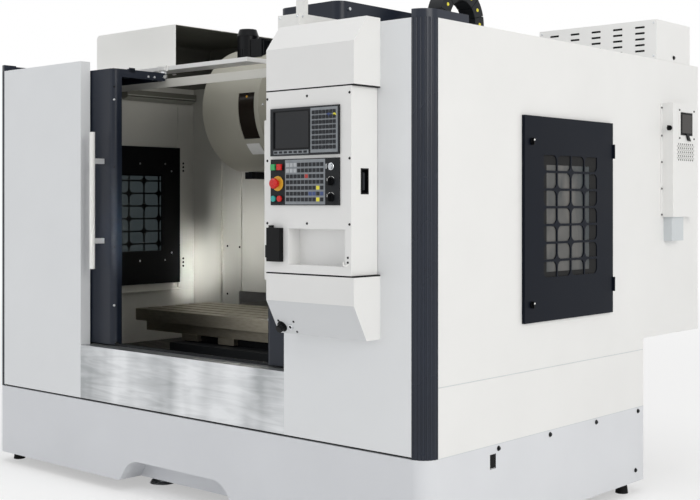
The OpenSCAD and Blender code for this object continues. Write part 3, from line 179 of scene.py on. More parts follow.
class Shape:
    """Collects primitives, in millimetres in the machine frame."""

    def __init__(self):
        self.bm = bmesh.new()

    def box(self, x, y, z, turn=None, about=None):
        """A box between limits, turned about its centre or about a given point."""
        r = bmesh.ops.create_cube(self.bm, size=1)["verts"]
        c = Vector(((x[0] + x[1]) / 2, (y[0] + y[1]) / 2, (z[0] + z[1]) / 2))
        s = Vector((abs(x[1] - x[0]), abs(y[1] - y[0]), abs(z[1] - z[0])))
        for v in r:
            p = Vector(v.co[i] * s[i] for i in range(3)) + c
            if turn is not None:
                a = Vector(about) if about else c
                p = turn @ (p - a) + a
            v.co = P(*p)
        return self

    def rod(self, a, b, r, r2=None, seg=24):
        """A cylinder from a to b, or a cone when the second radius is given."""
        a, b = Vector(a), Vector(b)
        d = b - a
        m = Matrix.Translation((a + b) / 2) @ d.to_track_quat("Z", "Y").to_matrix().to_4x4()
        made = bmesh.ops.create_cone(self.bm, cap_ends=True, segments=seg, radius1=r,
                                     radius2=r if r2 is None else r2, depth=d.length)["verts"]
        for v in made:
            v.co = P(*(m @ v.co))
        return self

    def ball(self, c, r, squash):
        made = bmesh.ops.create_uvsphere(self.bm, u_segments=16, v_segments=8, radius=r)["verts"]
        for v in made:
            v.co = P(*(Vector(v.co[i] * squash[i] for i in range(3)) + Vector(c)))
        return self

    def prism(self, pts, lo, hi):
        """A polygon in Y and Z, extruded along X from lo to hi."""
        bot = [self.bm.verts.new(P(lo, *p)) for p in pts]
        top = [self.bm.verts.new(P(hi, *p)) for p in pts]
        made = [self.bm.faces.new(bot), self.bm.faces.new(top)]
        for i in range(len(pts)):
            j = (i + 1) % len(pts)
            made.append(self.bm.faces.new((bot[i], bot[j], top[j], top[i])))
        bmesh.ops.recalc_face_normals(self.bm, faces=made)
        return self

    def frame(self, axis, at, u, v, bar, t):
        """A rectangular frame of bars: limits u and v across, from at to at + t along the axis."""
        deep = tuple(sorted((at, at + t)))
        side = (v[0] + bar, v[1] - bar)
        for uu, vv in ((u, (v[0], v[0] + bar)), (u, (v[1] - bar, v[1])),
                       ((u[0], u[0] + bar), side), ((u[1] - bar, u[1]), side)):
            self.box(*((deep, uu, vv) if axis == "x" else (uu, deep, vv)))
        return self

    def tube(self, pts, r, seg=10):
        """A tube through points, mitred at each."""
        pts = [Vector(p) for p in pts]
        rings, up = [], None
        for i, p in enumerate(pts):
            d = (pts[min(i + 1, len(pts) - 1)] - pts[max(i - 1, 0)]).normalized()
            if up is None:
                up = d.orthogonal().normalized()
            up = (up - d * up.dot(d)).normalized()
            side = d.cross(up)
            turns = [k * 2 * math.pi / seg for k in range(seg)]
            rings.append([self.bm.verts.new(P(*(p + (up * math.cos(a) + side * math.sin(a)) * r)))
                          for a in turns])
        for a, b in zip(rings, rings[1:]):
            for k in range(seg):
                self.bm.faces.new((a[k], a[(k + 1) % seg], b[(k + 1) % seg], b[k]))
        self.bm.faces.new(list(reversed(rings[0])))
        self.bm.faces.new(rings[-1])
        return self

    def done(self, name, mat, body="machine", edge=0.0, slot=None):
        bmesh.ops.recalc_face_normals(self.bm, faces=self.bm.faces)
        me = bpy.data.meshes.new(name)
        self.bm.to_mesh(me)
        self.bm.free()
        soften(place(name, me, mat, body), edge)


print("Mesh helpers ready")


# %% Dressing a CAD node
def dress(node, mat=None, edge=1.2, paint=(), segments=2):
    """A visual copy of a CAD node; paint is a list of (material, test of centre and normal)."""
    bm = bmesh.new()
    bm.from_mesh(nodes[node].data)
    bmesh.ops.remove_doubles(bm, verts=bm.verts, dist=2e-6)
    bmesh.ops.dissolve_limit(bm, angle_limit=math.radians(0.6), verts=bm.verts, edges=bm.edges)
    me = bpy.data.meshes.new("v_" + node)
    bm.to_mesh(me)
    bm.free()
    slot = slot_of[node]
    obj = place("v_" + node, me, mat or SLOT_MAT[slot], body_of[node])
    for i, (m, test) in enumerate(paint):
        me.materials.append(MATS[m])
        for p in me.polygons:
            if test(machine_mm(p.center), p.normal):
                p.material_index = i + 1
    soften(obj, edge, segments)
    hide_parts(node)


print("Dressing ready for", len(body_of), "nodes")

# %% [markdown]
# ## Geometry Nodes for what repeats
#
# Screws, vents and pin caps are instances on a small point cloud. Copied objects would do too, but
# a tree keeps one prototype and one list of points, so a row is moved or resized in one place.
# Each point carries the direction it faces. The tree ends in Realize Instances and Set Material,
# and the result is made a plain mesh before it rides on anything.

# %% Instancing with Geometry Nodes
def scatter(name, proto, points, mat, body="machine", size=1.0):
    """Instances of the mesh proto at points [(place, facing)], its +Z turned to the facing."""
    me = bpy.data.meshes.new(name)
    me.from_pydata([P(*p) for p, _ in points], [], [])
    aim = me.attributes.new("aim", "FLOAT_VECTOR", "POINT")
    aim.data.foreach_set("vector", [c for _, d in points for c in d])
    tool = link(name + "_proto", proto)
    g = bpy.data.node_groups.new(name, "GeometryNodeTree")
    g.interface.new_socket("Geometry", in_out="INPUT", socket_type="NodeSocketGeometry")
    wanted = g.interface.new_socket("Piece size", in_out="INPUT", socket_type="NodeSocketFloat")
    g.interface.new_socket("Geometry", in_out="OUTPUT", socket_type="NodeSocketGeometry")
    gin, gout = g.nodes.new("NodeGroupInput"), g.nodes.new("NodeGroupOutput")
    aimed = add(g, "GeometryNodeInputNamedAttribute", set_data_type="FLOAT_VECTOR", Name="aim")
    turn = add(g, "FunctionNodeAlignRotationToVector", set_axis="Z", Vector=aimed.outputs[0])
    info = add(g, "GeometryNodeObjectInfo", Object=tool)
    inst = add(g, "GeometryNodeInstanceOnPoints", Points=gin.outputs[0],
               Instance=info.outputs["Geometry"], Rotation=turn.outputs[0],
               Scale=gin.outputs["Piece size"])
    real = add(g, "GeometryNodeRealizeInstances", Geometry=inst.outputs[0])
    setm = add(g, "GeometryNodeSetMaterial", Geometry=real.outputs[0], Material=MATS[mat])
    g.links.new(setm.outputs[0], gout.inputs[0])
    obj = link(name, me)
    repeat = obj.modifiers.new("repeat", "NODES")
    repeat.node_group = g
    repeat[wanted.identifier] = size
    bake(obj)
    bpy.data.objects.remove(tool)
    smooth(obj.data)
    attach(obj, body)


def local(build, edge=0.0):
    """A prototype mesh around its own origin, built with Shape in millimetres."""
    s = Shape()
    build(s)
    bmesh.ops.recalc_face_normals(s.bm, faces=s.bm.faces)
    bmesh.ops.translate(s.bm, verts=s.bm.verts, vec=ROW_OFFSET / 1000)
    me = bpy.data.meshes.new("proto")
    s.bm.to_mesh(me)
    s.bm.free()
    if edge:
        o = link("tmp", me)
        soften(o, edge, 1)
        me = o.data
        bpy.data.objects.remove(o)
    return me


print("Instancing ready")

# %% Prototypes: slotted pan head, hexagon head with washer, socket cap, vent disc, pin cap
def stack(*rods):
    """Rods on top of one another: (bottom, top, radius, top radius or None, sides)."""
    def build(s):
        for lo, hi, r, r2, seg in rods:
            s.rod((0, 0, lo), (0, 0, hi), r, r2, seg)
    return build


PAN = local(lambda s: s.rod((0, 0, 0), (0, 0, 2.4), 5, 3.6, seg=14).box(
    (-3, 3), (-0.5, 0.5), (2.2, 2.6)))
HEX = local(stack((0, 1.5, 10, None, 20), (1.5, 6, 7.5, None, 6)), 0.4)
CAP = local(stack((0, 8, 8, None, 18), (7.9, 8.4, 4, None, 6)), 0.5)
VENT = local(stack((0, 0.25, 4.3, None, 12)))
PIN = local(stack((0, 1.6, 9, 8, 18), (1.5, 2.6, 4, None, 12)))
print("Prototypes ready:", [len(p.polygons) for p in (PAN, HEX, CAP, VENT, PIN)], "faces")

# %% [markdown]
# ## Materials
#
# Powder coat is baked paint with a faint orange peel. A picture could show it, but a noise on
# Object coordinates has no seams and stays in place when a door slides. The apron is brushed
# stainless: a noise drawn out sideways gives its grain, and a broad upright one paints reflections
# into its colour.
# Castings are painted and rough, ground steel is even and bright, plastics are nearly plain.
# A noise's scale is in cycles a metre, so 420 is a peel of 2.4 mm and 40 a cloud of 25 mm.

# %% Painted sheet and castings
def powder(name, base, other, rough=0.34, peel=0.06, gloss=0.4):
    """Powder coat: a satin skin with clouds 330 mm wide and a peel of 2.4 mm."""
    t, s, co = surface(name, base, rough)
    vary(t, s, co, base, other, 3.0, 0.6, rough - 0.04, rough + 0.06)
    fine = add(t, "ShaderNodeTexNoise", Vector=co, Scale=420.0, Detail=1.0)
    skin = add(t, "ShaderNodeBump", Height=fine.outputs[0], Strength=peel, Distance=0.0004)
    t.links.new(skin.outputs[0], s.inputs["Normal"])
    s.inputs["Specular IOR Level"].default_value = gloss


# Sheets: near white, each a shade apart, so that the folded boxes stand out from one another. The
# bevel coat is a greyer white as painted shade on the console's downward bevel, and the brighter
# white is painted light on the magazine hood on top.
powder("white_powder_coat", "#e9e9e8", "#e5e5e4")
powder("painted_shade_bevel_coat", "#d3d5d7", "#cfd1d3")
powder("painted_light_white_coat", "#f4f4f1", "#f0f0ed")
powder("grey_white_powder_coat", "#e5e7e9", "#e1e3e5")
powder("base_powder_coat", "#dadce0", "#d5d7db")
# Inside: warmer and duller; the darker coat is painted shade inside the hood, the louvre box and
# the work lamp.
powder("interior_powder_coat", "#cfcec7", "#c4c3bc", 0.45)
powder("painted_shade_inner_coat", "#6f6f66", "#63635b", 0.6)
# Navy: almost black with a blue cast, low in gloss so that a white room doesn't grey it.
powder("navy_powder_coat", "#171d29", "#1a212e", 0.33, gloss=0.3)
powder("column_navy_coat", "#161d2a", "#19212f", 0.26, gloss=0.4)
powder("window_navy_coat", "#0b101a", "#0d131e", 0.36, gloss=0.08)
# Machine parts: warm light greys on head and drum, a cold one on the cable duct.
powder("light_grey_coat", "#cfcec8", "#c8c7c1", 0.38)
powder("drum_grey_coat", "#b2b0a4", "#a7a599", 0.42)
powder("duct_grey_coat", "#cdd2d5", "#c6cbce", 0.42)
# Dark paint: flat black on frames, coarse on castings, a little livelier on motors. The darker cast
# paint is painted shade on the bed and the saddle under the table.
powder("black_coat", "#08090b", "#0c0d0f", 0.4, gloss=0.1)
powder("cast_grey_paint", "#5a5d60", "#525558", 0.5, 0.2)
powder("painted_shade_cast_paint", "#242628", "#1f2123", 0.5, 0.2, 0.2)
powder("motor_black_paint", "#08090c", "#0d0e11", 0.3, gloss=0.15)
print("Paints:", len(MATS))


# %% Bare and plated metals
def metal(name, base, other, rough, stretch=(1, 1, 1), scale=60.0):
    """Bare or plated metal; stretch draws the noise out into the lines that machining leaves."""
    t, s, co = surface(name, base, rough, 1.0)
    mp = add(t, "ShaderNodeMapping", Vector=co, Scale=stretch)
    vary(t, s, mp.outputs[0], base, other, scale, 0.8, rough - 0.07, rough + 0.1)


metal("ground_steel", "#bfc0c1", "#b2b4b6", 0.3, scale=40.0)          # bright, even rails
surface("satin_aluminium", "#e4e5e6", 0.35, 0.45)                     # pale, soft handle blocks
metal("milled_iron", "#b3ac9c", "#9d9788", 0.45, (2, 40, 8), 14.0)    # warm, with cutter lines
metal("zinc_plate", "#cfd2d4", "#b9bcbf", 0.3)                        # small bright screw heads
metal("chrome_plate", "#dfe1e3", "#d2d5d8", 0.12, scale=30.0)         # mirrors its surroundings
metal("shade_darkened_stainless", "#4a4946", "#3f3e3b", 0.45, (1, 6, 1), 9.0)  # cover plates, dark as painted shade under the table
metal("black_oxide_steel", "#2a2b2d", "#232426", 0.38)                # black with a metal sheen

# Brushed stainless of the apron: fine sideways grain under broad upright streaks of painted
# reflection in its colour.
t, s, co = surface("brushed_stainless", "#c3c3c1", 0.3, 1.0)
drawn = add(t, "ShaderNodeMapping", Vector=co, Scale=(1.0, 1.0, 9.0))
grain = add(t, "ShaderNodeTexNoise", Vector=drawn.outputs[0], Scale=3.6, Detail=8.0,
            Distortion=1.2)
upright = add(t, "ShaderNodeMapping", Vector=co, Scale=(3.0, 1.0, 1.1))
cloud = add(t, "ShaderNodeTexNoise", Vector=upright.outputs[0], Scale=1.3, Detail=2.0,
            Distortion=0.4)
both = add(t, "ShaderNodeMath", set_operation="MULTIPLY_ADD", in_0=grain.outputs[0], in_1=0.4,
           in_2=cloud.outputs[0])
dull, bright = 0.56, 0.9
tone = add(t, "ShaderNodeMapRange", in_0=both.outputs[0], in_1=dull, in_2=bright)
mix = add(t, "ShaderNodeMix", set_data_type="RGBA", in_0=tone.outputs[0],
          in_6=col("#a8abad"), in_7=col("#e3e5e7"))
t.links.new(mix.outputs[2], s.inputs["Base Color"])
gloss = add(t, "ShaderNodeMapRange", in_0=both.outputs[0], in_1=dull, in_2=bright,
            in_3=0.42, in_4=0.28)
t.links.new(gloss.outputs[0], s.inputs["Roughness"])
print("Paints and metals:", len(MATS))


# %% Plastics, rubber and lamps
def plastic(name, base, other, rough, gloss=0.4):
    """Moulded plastic: nearly even, with a little cloudiness in its shine."""
    t, s, co = surface(name, base, rough)
    vary(t, s, co, base, other, 40.0, 0.6, rough - 0.05, rough + 0.05)
    s.inputs["Specular IOR Level"].default_value = gloss


# Housings and trim: dull blacks and greys, a clean white.
plastic("black_plastic", "#090a0c", "#0e0f11", 0.42, 0.15)
plastic("dark_grey_plastic", "#15171a", "#1a1d20", 0.45, 0.2)
plastic("white_plastic", "#efefed", "#e9e9e6", 0.35)
plastic("rubber", "#0e0e0f", "#141415", 0.65, 0.15)
# Sealed keys: a silver grey membrane around small dark, pale and coloured caps.
plastic("membrane_grey", "#8c9196", "#7d8287", 0.32)
plastic("key_dark_plastic", "#1b1d21", "#22252a", 0.45, 0.25)
plastic("key_light_plastic", "#b9bdc1", "#a9adb1", 0.4)
plastic("key_blue_plastic", "#3a4a78", "#435382", 0.5)
plastic("key_yellow_plastic", "#e6da3c", "#ecdf4a", 0.5)
plastic("key_red_plastic", "#a8322e", "#b23b36", 0.5)
# Push buttons: saturated and shiny.
plastic("red_plastic", "#c41c18", "#cc2520", 0.28)
plastic("green_plastic", "#35a35f", "#3fae68", 0.3)
plastic("teal_plastic", "#2f9f98", "#3aaaa3", 0.28)
plastic("yellow_plastic", "#e0a82e", "#e8b23a", 0.4)
# Plain shaders: a dark screen, the black of a joint, tinted domes, a diffuser that is off.
surface("screen_glass", "#0c1016", 0.12, 0.0, Specular_IOR_Level=0.35)
surface("dark_gap", "#060607", 0.9)
surface("tower_red", "#b8231d", 0.25, Transmission_Weight=0.25)
surface("tower_amber", "#d98a1c", 0.25, Transmission_Weight=0.25)
surface("tower_green", "#2c9146", 0.25, Transmission_Weight=0.25)
surface("lamp_tube", "#a9aaa2", 0.4)
print("With plastics:", len(MATS))

# %% Glass and polycarbonate
# Door glass is clear with a green cast, covers of the drum and the power box are smoked brown.
surface("clear_glass", "#dfe9e8", 0.03, 0.0, Transmission_Weight=1.0, IOR=1.45, Alpha=0.35)
surface("smoked_glass", "#241f1b", 0.14, 0.0, Specular_IOR_Level=0.3)

# Polycarbonate of the side windows: dull, partly see-through, with painted light and shade of the
# room clouded into its colour.
for name, through in (("tinted_polycarbonate", 0.3), ("clear_polycarbonate", 0.8)):
    t, s, co = surface(name, "#50575a", 0.22, 0.0, Specular_IOR_Level=0.3)
    wide = add(t, "ShaderNodeMapping", Vector=co, Scale=(1.0, 1.6, 0.7))
    room_light_and_shade = add(t, "ShaderNodeTexNoise", Vector=wide.outputs[0], Scale=4.2, Detail=2.0,
               Distortion=0.6)
    part = add(t, "ShaderNodeMapRange", in_0=room_light_and_shade.outputs[0], in_1=0.35, in_2=0.65)
    mix = add(t, "ShaderNodeMix", set_data_type="RGBA", in_0=part.outputs[0],
              in_6=col("#434a4d"), in_7=col("#777572"))
    t.links.new(mix.outputs[2], s.inputs["Base Color"])
    clear = add(t, "ShaderNodeBsdfTransparent", Color=col("#7b8284"))
    both = add(t, "ShaderNodeMixShader", in_0=through, in_1=s.outputs[0], in_2=clear.outputs[0])
    t.links.new(both.outputs[0], t.nodes["Material Output"].inputs[0])
print("Materials:", len(MATS))

# %% Slots of the CAD record: the finish each slot gets
SLOT_MAT = {
    "white_paint": "white_powder_coat", "panel_paint": "grey_white_powder_coat",
    "navy_paint": "navy_powder_coat", "base_paint": "base_powder_coat",
    "cast_paint": "cast_grey_paint", "machined_iron": "milled_iron",
    # Stainless parts get a cover plate finish darkened as painted shade under the table.
    "ground_steel": "ground_steel", "stainless": "shade_darkened_stainless",
    "motor_black": "motor_black_paint", "black_plastic": "black_plastic",
    "panel_plastic": "dark_grey_plastic", "white_plastic": "white_plastic",
    "red_plastic": "red_plastic", "green_plastic": "green_plastic",
    "teal_plastic": "teal_plastic", "chrome": "chrome_plate", "glass": "clear_glass",
}
print("Slots:", len(SLOT_MAT))

# %% [markdown]
# ## The enclosure
#
# The real cover is 2 to 4 mm sheet, folded and powder coated. It could be built again from planes
# with a Solidify modifier, but the CAD solid has every fold and hole already. So each sheet is
# that solid with its edges rounded by about a millimetre, as a folded and coated edge is. Where
# one node carries parts of another finish, faces are picked by where they are.

# %% Sheets
FAR = 1e4                  # an open end, beyond every face


def within(x=None, y=None, z=None):
    """A test of a face: its centre lies between limits in millimetres; None leaves an axis open."""
    limits = [(i, lim) for i, lim in enumerate((x, y, z)) if lim]
    return lambda c, n: all(lim[0] < c[i] < lim[1] for i, lim in limits)


for n in ("front_panels", "left_side_panel", "right_side_panel", "roof_panels", "cabinet_door"):
    dress(n, edge=1.4)
# The console's downward facing lower bevel gets a greyer white: painted shade.
dress("console_mount", edge=1.4, paint=[
    ("painted_shade_bevel_coat", lambda c, n: c.z < 915 and n.z < -0.3 and n.y < -0.5)])
slot_sides = within((1344, FAR), (380, 420), (286, 343))
dress("base_skirt", edge=1.4, paint=[
    ("black_coat", lambda c, n: n.x < 0.5 and slot_sides(c, n))])
# The hood is a brighter white, painted light on top of the machine; inside it a dark coat is
# painted shade.
dress("magazine_hood", "painted_light_white_coat", edge=1.4, paint=[
    ("painted_shade_inner_coat", within((-1343, -703), (603.5, 1396.5), (-FAR, 2162)))])
# The louvre box is dark inside: painted shade.
dress("electrical_cabinet", edge=1.2, paint=[
    ("painted_shade_inner_coat", within((735, 1345), (1689, 2010), (1924, 2100)))])
dress("power_box", edge=1.0, paint=[
    ("duct_grey_coat", within(z=(-FAR, 1210))), ("black_coat", within(x=(1405.5, FAR)))])
for n in ("rear_panels", "inner_liner"):
    dress(n, "interior_powder_coat", edge=1.2)
dress("corner_columns", "column_navy_coat", edge=0.6)
dress("front_apron", "brushed_stainless", edge=1.4)
dress("chip_tray", edge=0.8)

# %% Castings, rails, screws and moving parts
# The bed's darker cast paint is painted shade under the table.
dress("bed_casting", "painted_shade_cast_paint", edge=4.0)
for n in ("column_casting", "arm_gearbox"):
    dress(n, edge=4.0)
dress("levelling_feet", "rubber", edge=1.6, paint=[
    ("zinc_plate", lambda c, n: c.z > 34.5 or abs(c.x) < 900)])
for n in ("linear_rails", "x_screw", "y_screw", "z_screw", "arm_shaft"):
    dress(n, edge=0.8)
dress("door_rails", "black_oxide_steel", edge=0.8, paint=[
    ("interior_powder_coat", within(z=(1800, FAR)))])
dress("drive_motors", edge=1.5)
dress("magazine_cover", "drum_grey_coat", edge=1.2)
# The saddle's darker cast paint and the dark stainless at its front are painted shade under the
# table.
dress("saddle", "painted_shade_cast_paint", edge=2.0, paint=[
    ("black_oxide_steel", within(y=(-FAR, 1040), z=(601, 640))),
    ("shade_darkened_stainless", within(y=(-FAR, 478))),
    ("motor_black_paint", within(x=(601, FAR)))])
dress("way_cover_mid", edge=0.8)
dress("table", edge=1.5)
dress("head_casting", "light_grey_coat", edge=3.0)
dress("head_cover", edge=2.0)
dress("spindle", edge=1.0)
dress("magazine_disc", edge=1.0, paint=[("white_plastic", within(x=(-FAR, -500.5)))])
dress("change_pot", edge=1.0)
dress("exchange_arm", edge=2.0)

# %% [markdown]
# ## Fasteners of the enclosure
#
# The skirt hangs on black hexagon screws, the panels on small zinc plated pan heads. They are too
# small to belong in the solids, but they give the eye the size of the sheets. Each set is a point
# cloud, so one tree makes them all. Joints are thin strips of seal, because at this distance a
# strip reads as the dark line that an open gap of a millimetre would lose.

# %% Screws on the base, sides and back
SIDE_X = 1350              # outer face of the side panels
ROOF_Z = 1924              # top of the roof sheets
FRONT, BACK, RIGHT, LEFT = (0, -1, 0), (0, 1, 0), (1, 0, 0), (-1, 0, 0)
UP, DOWN = (0, 0, 1), (0, 0, -1)
skirt_points = [((SIDE_X, y, 358), RIGHT) for y in (436, 793, 1150, 1509)]
skirt_points += [((SIDE_X, 1487, 101), RIGHT)]
scatter("skirt_screws", HEX, skirt_points, "black_oxide_steel")
panel_points = [((-1296 + i * 119, 2100, z), BACK) for i in range(6) for z in (700, 1900)]
for x in (1290, 1120, 700):
    panel_points += [((s * x, 1560, z), BACK) for s in (-1, 1) for z in (420, 640)]
panel_points += [((-1346, y, 1990), LEFT) for y in (640, 1000, 1360)]
panel_points += [((-1346, y, 2120), LEFT) for y in (640, 1360)]
scatter("panel_screws", PAN, panel_points, "zinc_plate")
roof_points = [((x, y, ROOF_Z), UP) for x in (480, 700, 1000, 1300) for y in (440, 1500)]
roof_points += [((x, 620, ROOF_Z), UP) for x in (-600, -300, -20)]
scatter("roof_screws", PAN, roof_points, "zinc_plate")
print("Screws on the enclosure:", len(skirt_points + panel_points + roof_points))

# %% Slot cover, panel joints and gaskets
plug = Shape().box((1344, 1348.5), (383, 417), (289, 340))
plug.done("skirt_slot_plug", "rubber", edge=5)
joint = Shape()
for x in ((-655, 655), (-1280, -655), (655, 1280)):
    joint.box(x, (9, 13), (376, 383))
joint.done("base_joint_seal", "dark_gap")
seam = Shape()
for s in (-1, 1):
    seam.box((s * 1348.6, s * 1349.2), (70, 1558), (623.7, 626.3))
    seam.box((s * 1349.3, s * 1350.3), (68, 1559), (374, 376.4))
seam.done("side_seam_sealant", "duct_grey_coat")
print("Plug, joints and seams done")

# %% [markdown]
# ## Power box and louvre box
#
# The power box is a folded box screwed to the side panel by a narrow flange. Its face has a black
# framed window with a pull tab, four screws and a field of small vents. More vents could be cut
# with a Boolean modifier, but thin dark discs look the same and keep the sheet's faces clean. Their
# black, like the black sheet behind the holes, is painted shade inside the box.

# %% Window, tab and vents of the power box
BOX_X = 1405               # face of the power box
plate = Shape().box((BOX_X, BOX_X + 1.2), (1786, 1953), (1556, 1713))
plate.done("power_window_plate", "white_powder_coat", edge=0.4)
pane = Shape().box((1409, 1409.8), (1816, 1913), (1594, 1679))
pane.done("power_window_pane", "smoked_glass")
tab = Shape().prism([(1850, 1592), (1872, 1592), (1898, 1558), (1868, 1561)], 1409, 1414)
tab.done("power_pull_tab", "black_plastic", edge=0.8)
# A black sheet behind the vent holes is painted shade inside the box.
dark = Shape().box((1398, 1399), (1772, 1958), (1470, 1548))
dark.done("vent_filter", "dark_gap")
# The dark discs are painted shade, standing for more vent holes.
vents = [((BOX_X, 1790 + 20 * i, 1489 + 18 * j), RIGHT) for i in range(8) for j in range(-1, 4)]
scatter("vent_perforation", VENT, vents, "dark_gap")
box_points = [((1353, 1728, z), RIGHT) for z in (1221, 1339, 1460, 1580, 1707)]
box_points += [((BOX_X + 1.2, y, z), RIGHT) for y in (1797, 1942) for z in (1570, 1698)]
scatter("power_box_screws", PAN, box_points, "black_oxide_steel")
print("Vents of the power box:", len(vents))

# %% Shade sheet, plug and screws of the louvre box
# A black sheet behind the louvre slots is painted shade inside the box.
dark = Shape().box((746, 1340), (1690, 1691), (1945, 2090))
dark.done("louvre_filter", "dark_gap")
scatter("louvre_box_plug", HEX, [((SIDE_X, 1850, 1944), RIGHT)], "black_plastic")
louvre_points = [((x, 1684, z), FRONT) for x in (745, 1335) for z in (1940, 2090)]
scatter("louvre_box_screws", PAN, louvre_points, "zinc_plate")
print("Screws of the louvre box:", len(louvre_points))

# %% [markdown]
# ## Windows
#
# Each side window is a navy steel grille of leaf shaped cells over a polycarbonate pane. The cells
# are cut in the CAD solid, and only the pane's faces get another material. It mixes a clear
# shader with a dull one: real refraction would be slower and no truer for a thin, cloudy pane.
# The black rim inside is narrower than the grille, so it darkens half of the outer cells.

# %% Side windows
GRILLE_Y, GRILLE_Z = (656, 1202), (875, 1548)
LOW_Z, HIGH_Z = (875, 1003), (1424, 1548)


def pane_faces(c, n):
    return 1353 < abs(c.x) < 1360 and 640 < c.y < 1220 and 860 < c.z < 1560 and abs(n.x) > 0.5


dress("left_window", "window_navy_coat", edge=0.8, paint=[
    ("clear_polycarbonate", pane_faces), ("black_coat", lambda c, n: abs(c.x) < 1315)])
dress("side_window", "window_navy_coat", edge=0.8, paint=[
    ("tinted_polycarbonate", pane_faces), ("black_coat", within((1365.5, FAR), (-FAR, 700)))])
for name, s, body in (("left", -1, "machine"), ("right", 1, "side_window")):
    rim_x, gasket_x = (s * 1351, s * 1354.4), (s * 1359.2, s * 1359.9)
    rim = Shape()
    for y in ((656, 760), (1080, 1202)):
        rim.box(rim_x, y, GRILLE_Z)
    for z in (LOW_Z, HIGH_Z):
        rim.box(rim_x, (760, 1080), z)
    rim.done("window_rim_" + name, "black_coat", body)
    gasket = Shape()
    for z in (LOW_Z, HIGH_Z):
        gasket.box(gasket_x, GRILLE_Y, z)
    for y in ((656, 752), (1078, 1202)):
        gasket.box(gasket_x, y, (LOW_Z[1], HIGH_Z[0]))
    gasket.done("window_gasket_" + name, "dark_gap", body)
# White dots on the black latches are painted highlights, the glints of the latches.
latch_glint_points = [((1376, 642, z), RIGHT) for z in (887, 1518)]
scatter("latch_pins", PAN, latch_glint_points, "white_plastic", "side_window", size=0.8)
window_points = [((-1300, y, z), RIGHT) for y, z in (
    (1076, 996), (1028, 957), (853, 957), (854, 1490), (1029, 1492), (1075, 1452),
    (655, 957), (655, 1490))]
scatter("inner_window_screws", PAN, window_points, "zinc_plate", size=1.1)
print("Window screws:", len(window_points))

# %% [markdown]
# ## Inside of the enclosure
#
# The liners have a fold under the window and an upright seam; liner, guard and ceiling are held by
# black screws. The work lamp is a channel whose dark coat is painted shade, with two pale lines.
# Its diffuser could glow, but the lamp is off, so pale plastic is enough and adds no light.

# %% Liner folds, lamp and screws inside
LINER_X = 1310             # inner face of the side liners
fold = Shape()
for s in (-1, 1):
    fold.box((s * LINER_X, s * 1292), (200, 1138), (786, 792))
    fold.box((s * LINER_X, s * 1304), (1126, 1132), (800, 1815))
fold.done("liner_folds", "interior_powder_coat", edge=0.8)
dots = [((x, y, z), FRONT) for x, y, z in (
    (-1023, 1245, 1035), (-1023, 1245, 770), (-914, 1235, 1032), (-914, 1235, 1700))]
dots += [((-LINER_X, 1169, z), RIGHT) for z in (1498, 1477, 1456, 960, 939, 918)]
dots += [((-1178, 798, 1920), DOWN), ((-1138, 1073, 1920), DOWN)]
scatter("inner_screws", PAN, dots, "black_oxide_steel", size=1.3)
# The lamp's channel gets the dark coat: painted shade.
dress("work_lamp", "painted_shade_inner_coat", edge=1.0)
lamp = Shape().box((-1262, -1259.4), (742, 1219), (1856, 1860))
lamp.box((-1306, -1262), (742, 1219), (1838, 1841), Matrix.Rotation(-0.31, 3, "Y"))
lamp.done("lamp_lines", "lamp_tube")
# A squashed white ball under the roof is a painted spot of light that shines through a hole.
Shape().ball((-638, 540, 1904), 9, (1.6, 1, 0.4)).done("roof_lamp_stud", "white_plastic")
latch = Shape().box((-582, -509), (389, 396), (1899, 1928))
latch.box((-570, -521), (384, 389), (1904, 1923))
latch.done("roof_latch_block", "white_plastic", edge=1.5)
print("Screws inside:", len(dots))

# %% [markdown]
# ## Doors
#
# Each door is one folded sheet with a rounded leading edge, hung from a roller. It carries a
# white bar handle on two bright blocks, a glass in a rubber seal, a row of screws and an eyelet.
# The doors mirror each other. One loop makes both with a sign before each X, and not a Mirror
# modifier, because the right door has to be an object of its own to slide on its own body.

# %% Doors, handles, seals and rollers
DOOR_EDGE_X = 498          # rounded leading edge of an open door
for side, s in (("left", -1), ("right", 1)):
    body = side + "_door"
    dress(side + "_door", edge=1.6, paint=[
        ("chrome_plate", within(y=(362, FAR), z=(1855, FAR)))])
    dress(side + "_handle", edge=3.0, paint=[("satin_aluminium", within(y=(12.6, FAR)))])
    dress(side + "_glass", edge=0.6)
    edge_dir = (-s * 0.7, -0.71, 0)
    light_points = [((s * DOOR_EDGE_X, 70.5, z), edge_dir) for z in (1743, 810)]
    if side == "left":
        light_points += [((s * 489.9, y, 1861), (-s, 0, 0)) for y in (262, 297)]
    scatter(side + "_door_screws", PAN, light_points, "zinc_plate", body, size=1.15)
    dark_points = [((s * DOOR_EDGE_X, 70.5, z), edge_dir) for z in (1802, 1437, 1075)]
    scatter(side + "_door_dark_screws", PAN, dark_points, "black_oxide_steel", body)
    seal = Shape().frame("y", 60, tuple(sorted((s * 690, s * 1113))), (940, 1710), 16, -2.5)
    seal.done(side + "_glass_seal", "rubber", body, edge=1.0)
    eyelet = Shape().box((s * 490, s * 493), (150, 184), (1872, 1894))
    eyelet.box((s * 490, s * 508), (150, 184), (1885, 1889))
    eyelet.done(side + "_door_eyelet", "navy_powder_coat", body, edge=0.8)
    fork = Shape().box((s * 505, s * 535), (352, 365), (1846, 1852))
    fork.rod((s * 520, 350, 1868), (s * 520, 386, 1868), 5, seg=16)
    fork.rod((s * 520, 384, 1868), (s * 520, 388, 1868), 13, seg=20)
    fork.rod((s * 508, 358, 1868), (s * 489.4, 358, 1868), 9, seg=20)
    fork.box((s * 492, s * 500), (330, 352), (1858, 1878))
    fork.done(side + "_roller_fork", "chrome_plate", body, edge=0.5)
    print(side, "door done, screws:", len(light_points + dark_points))

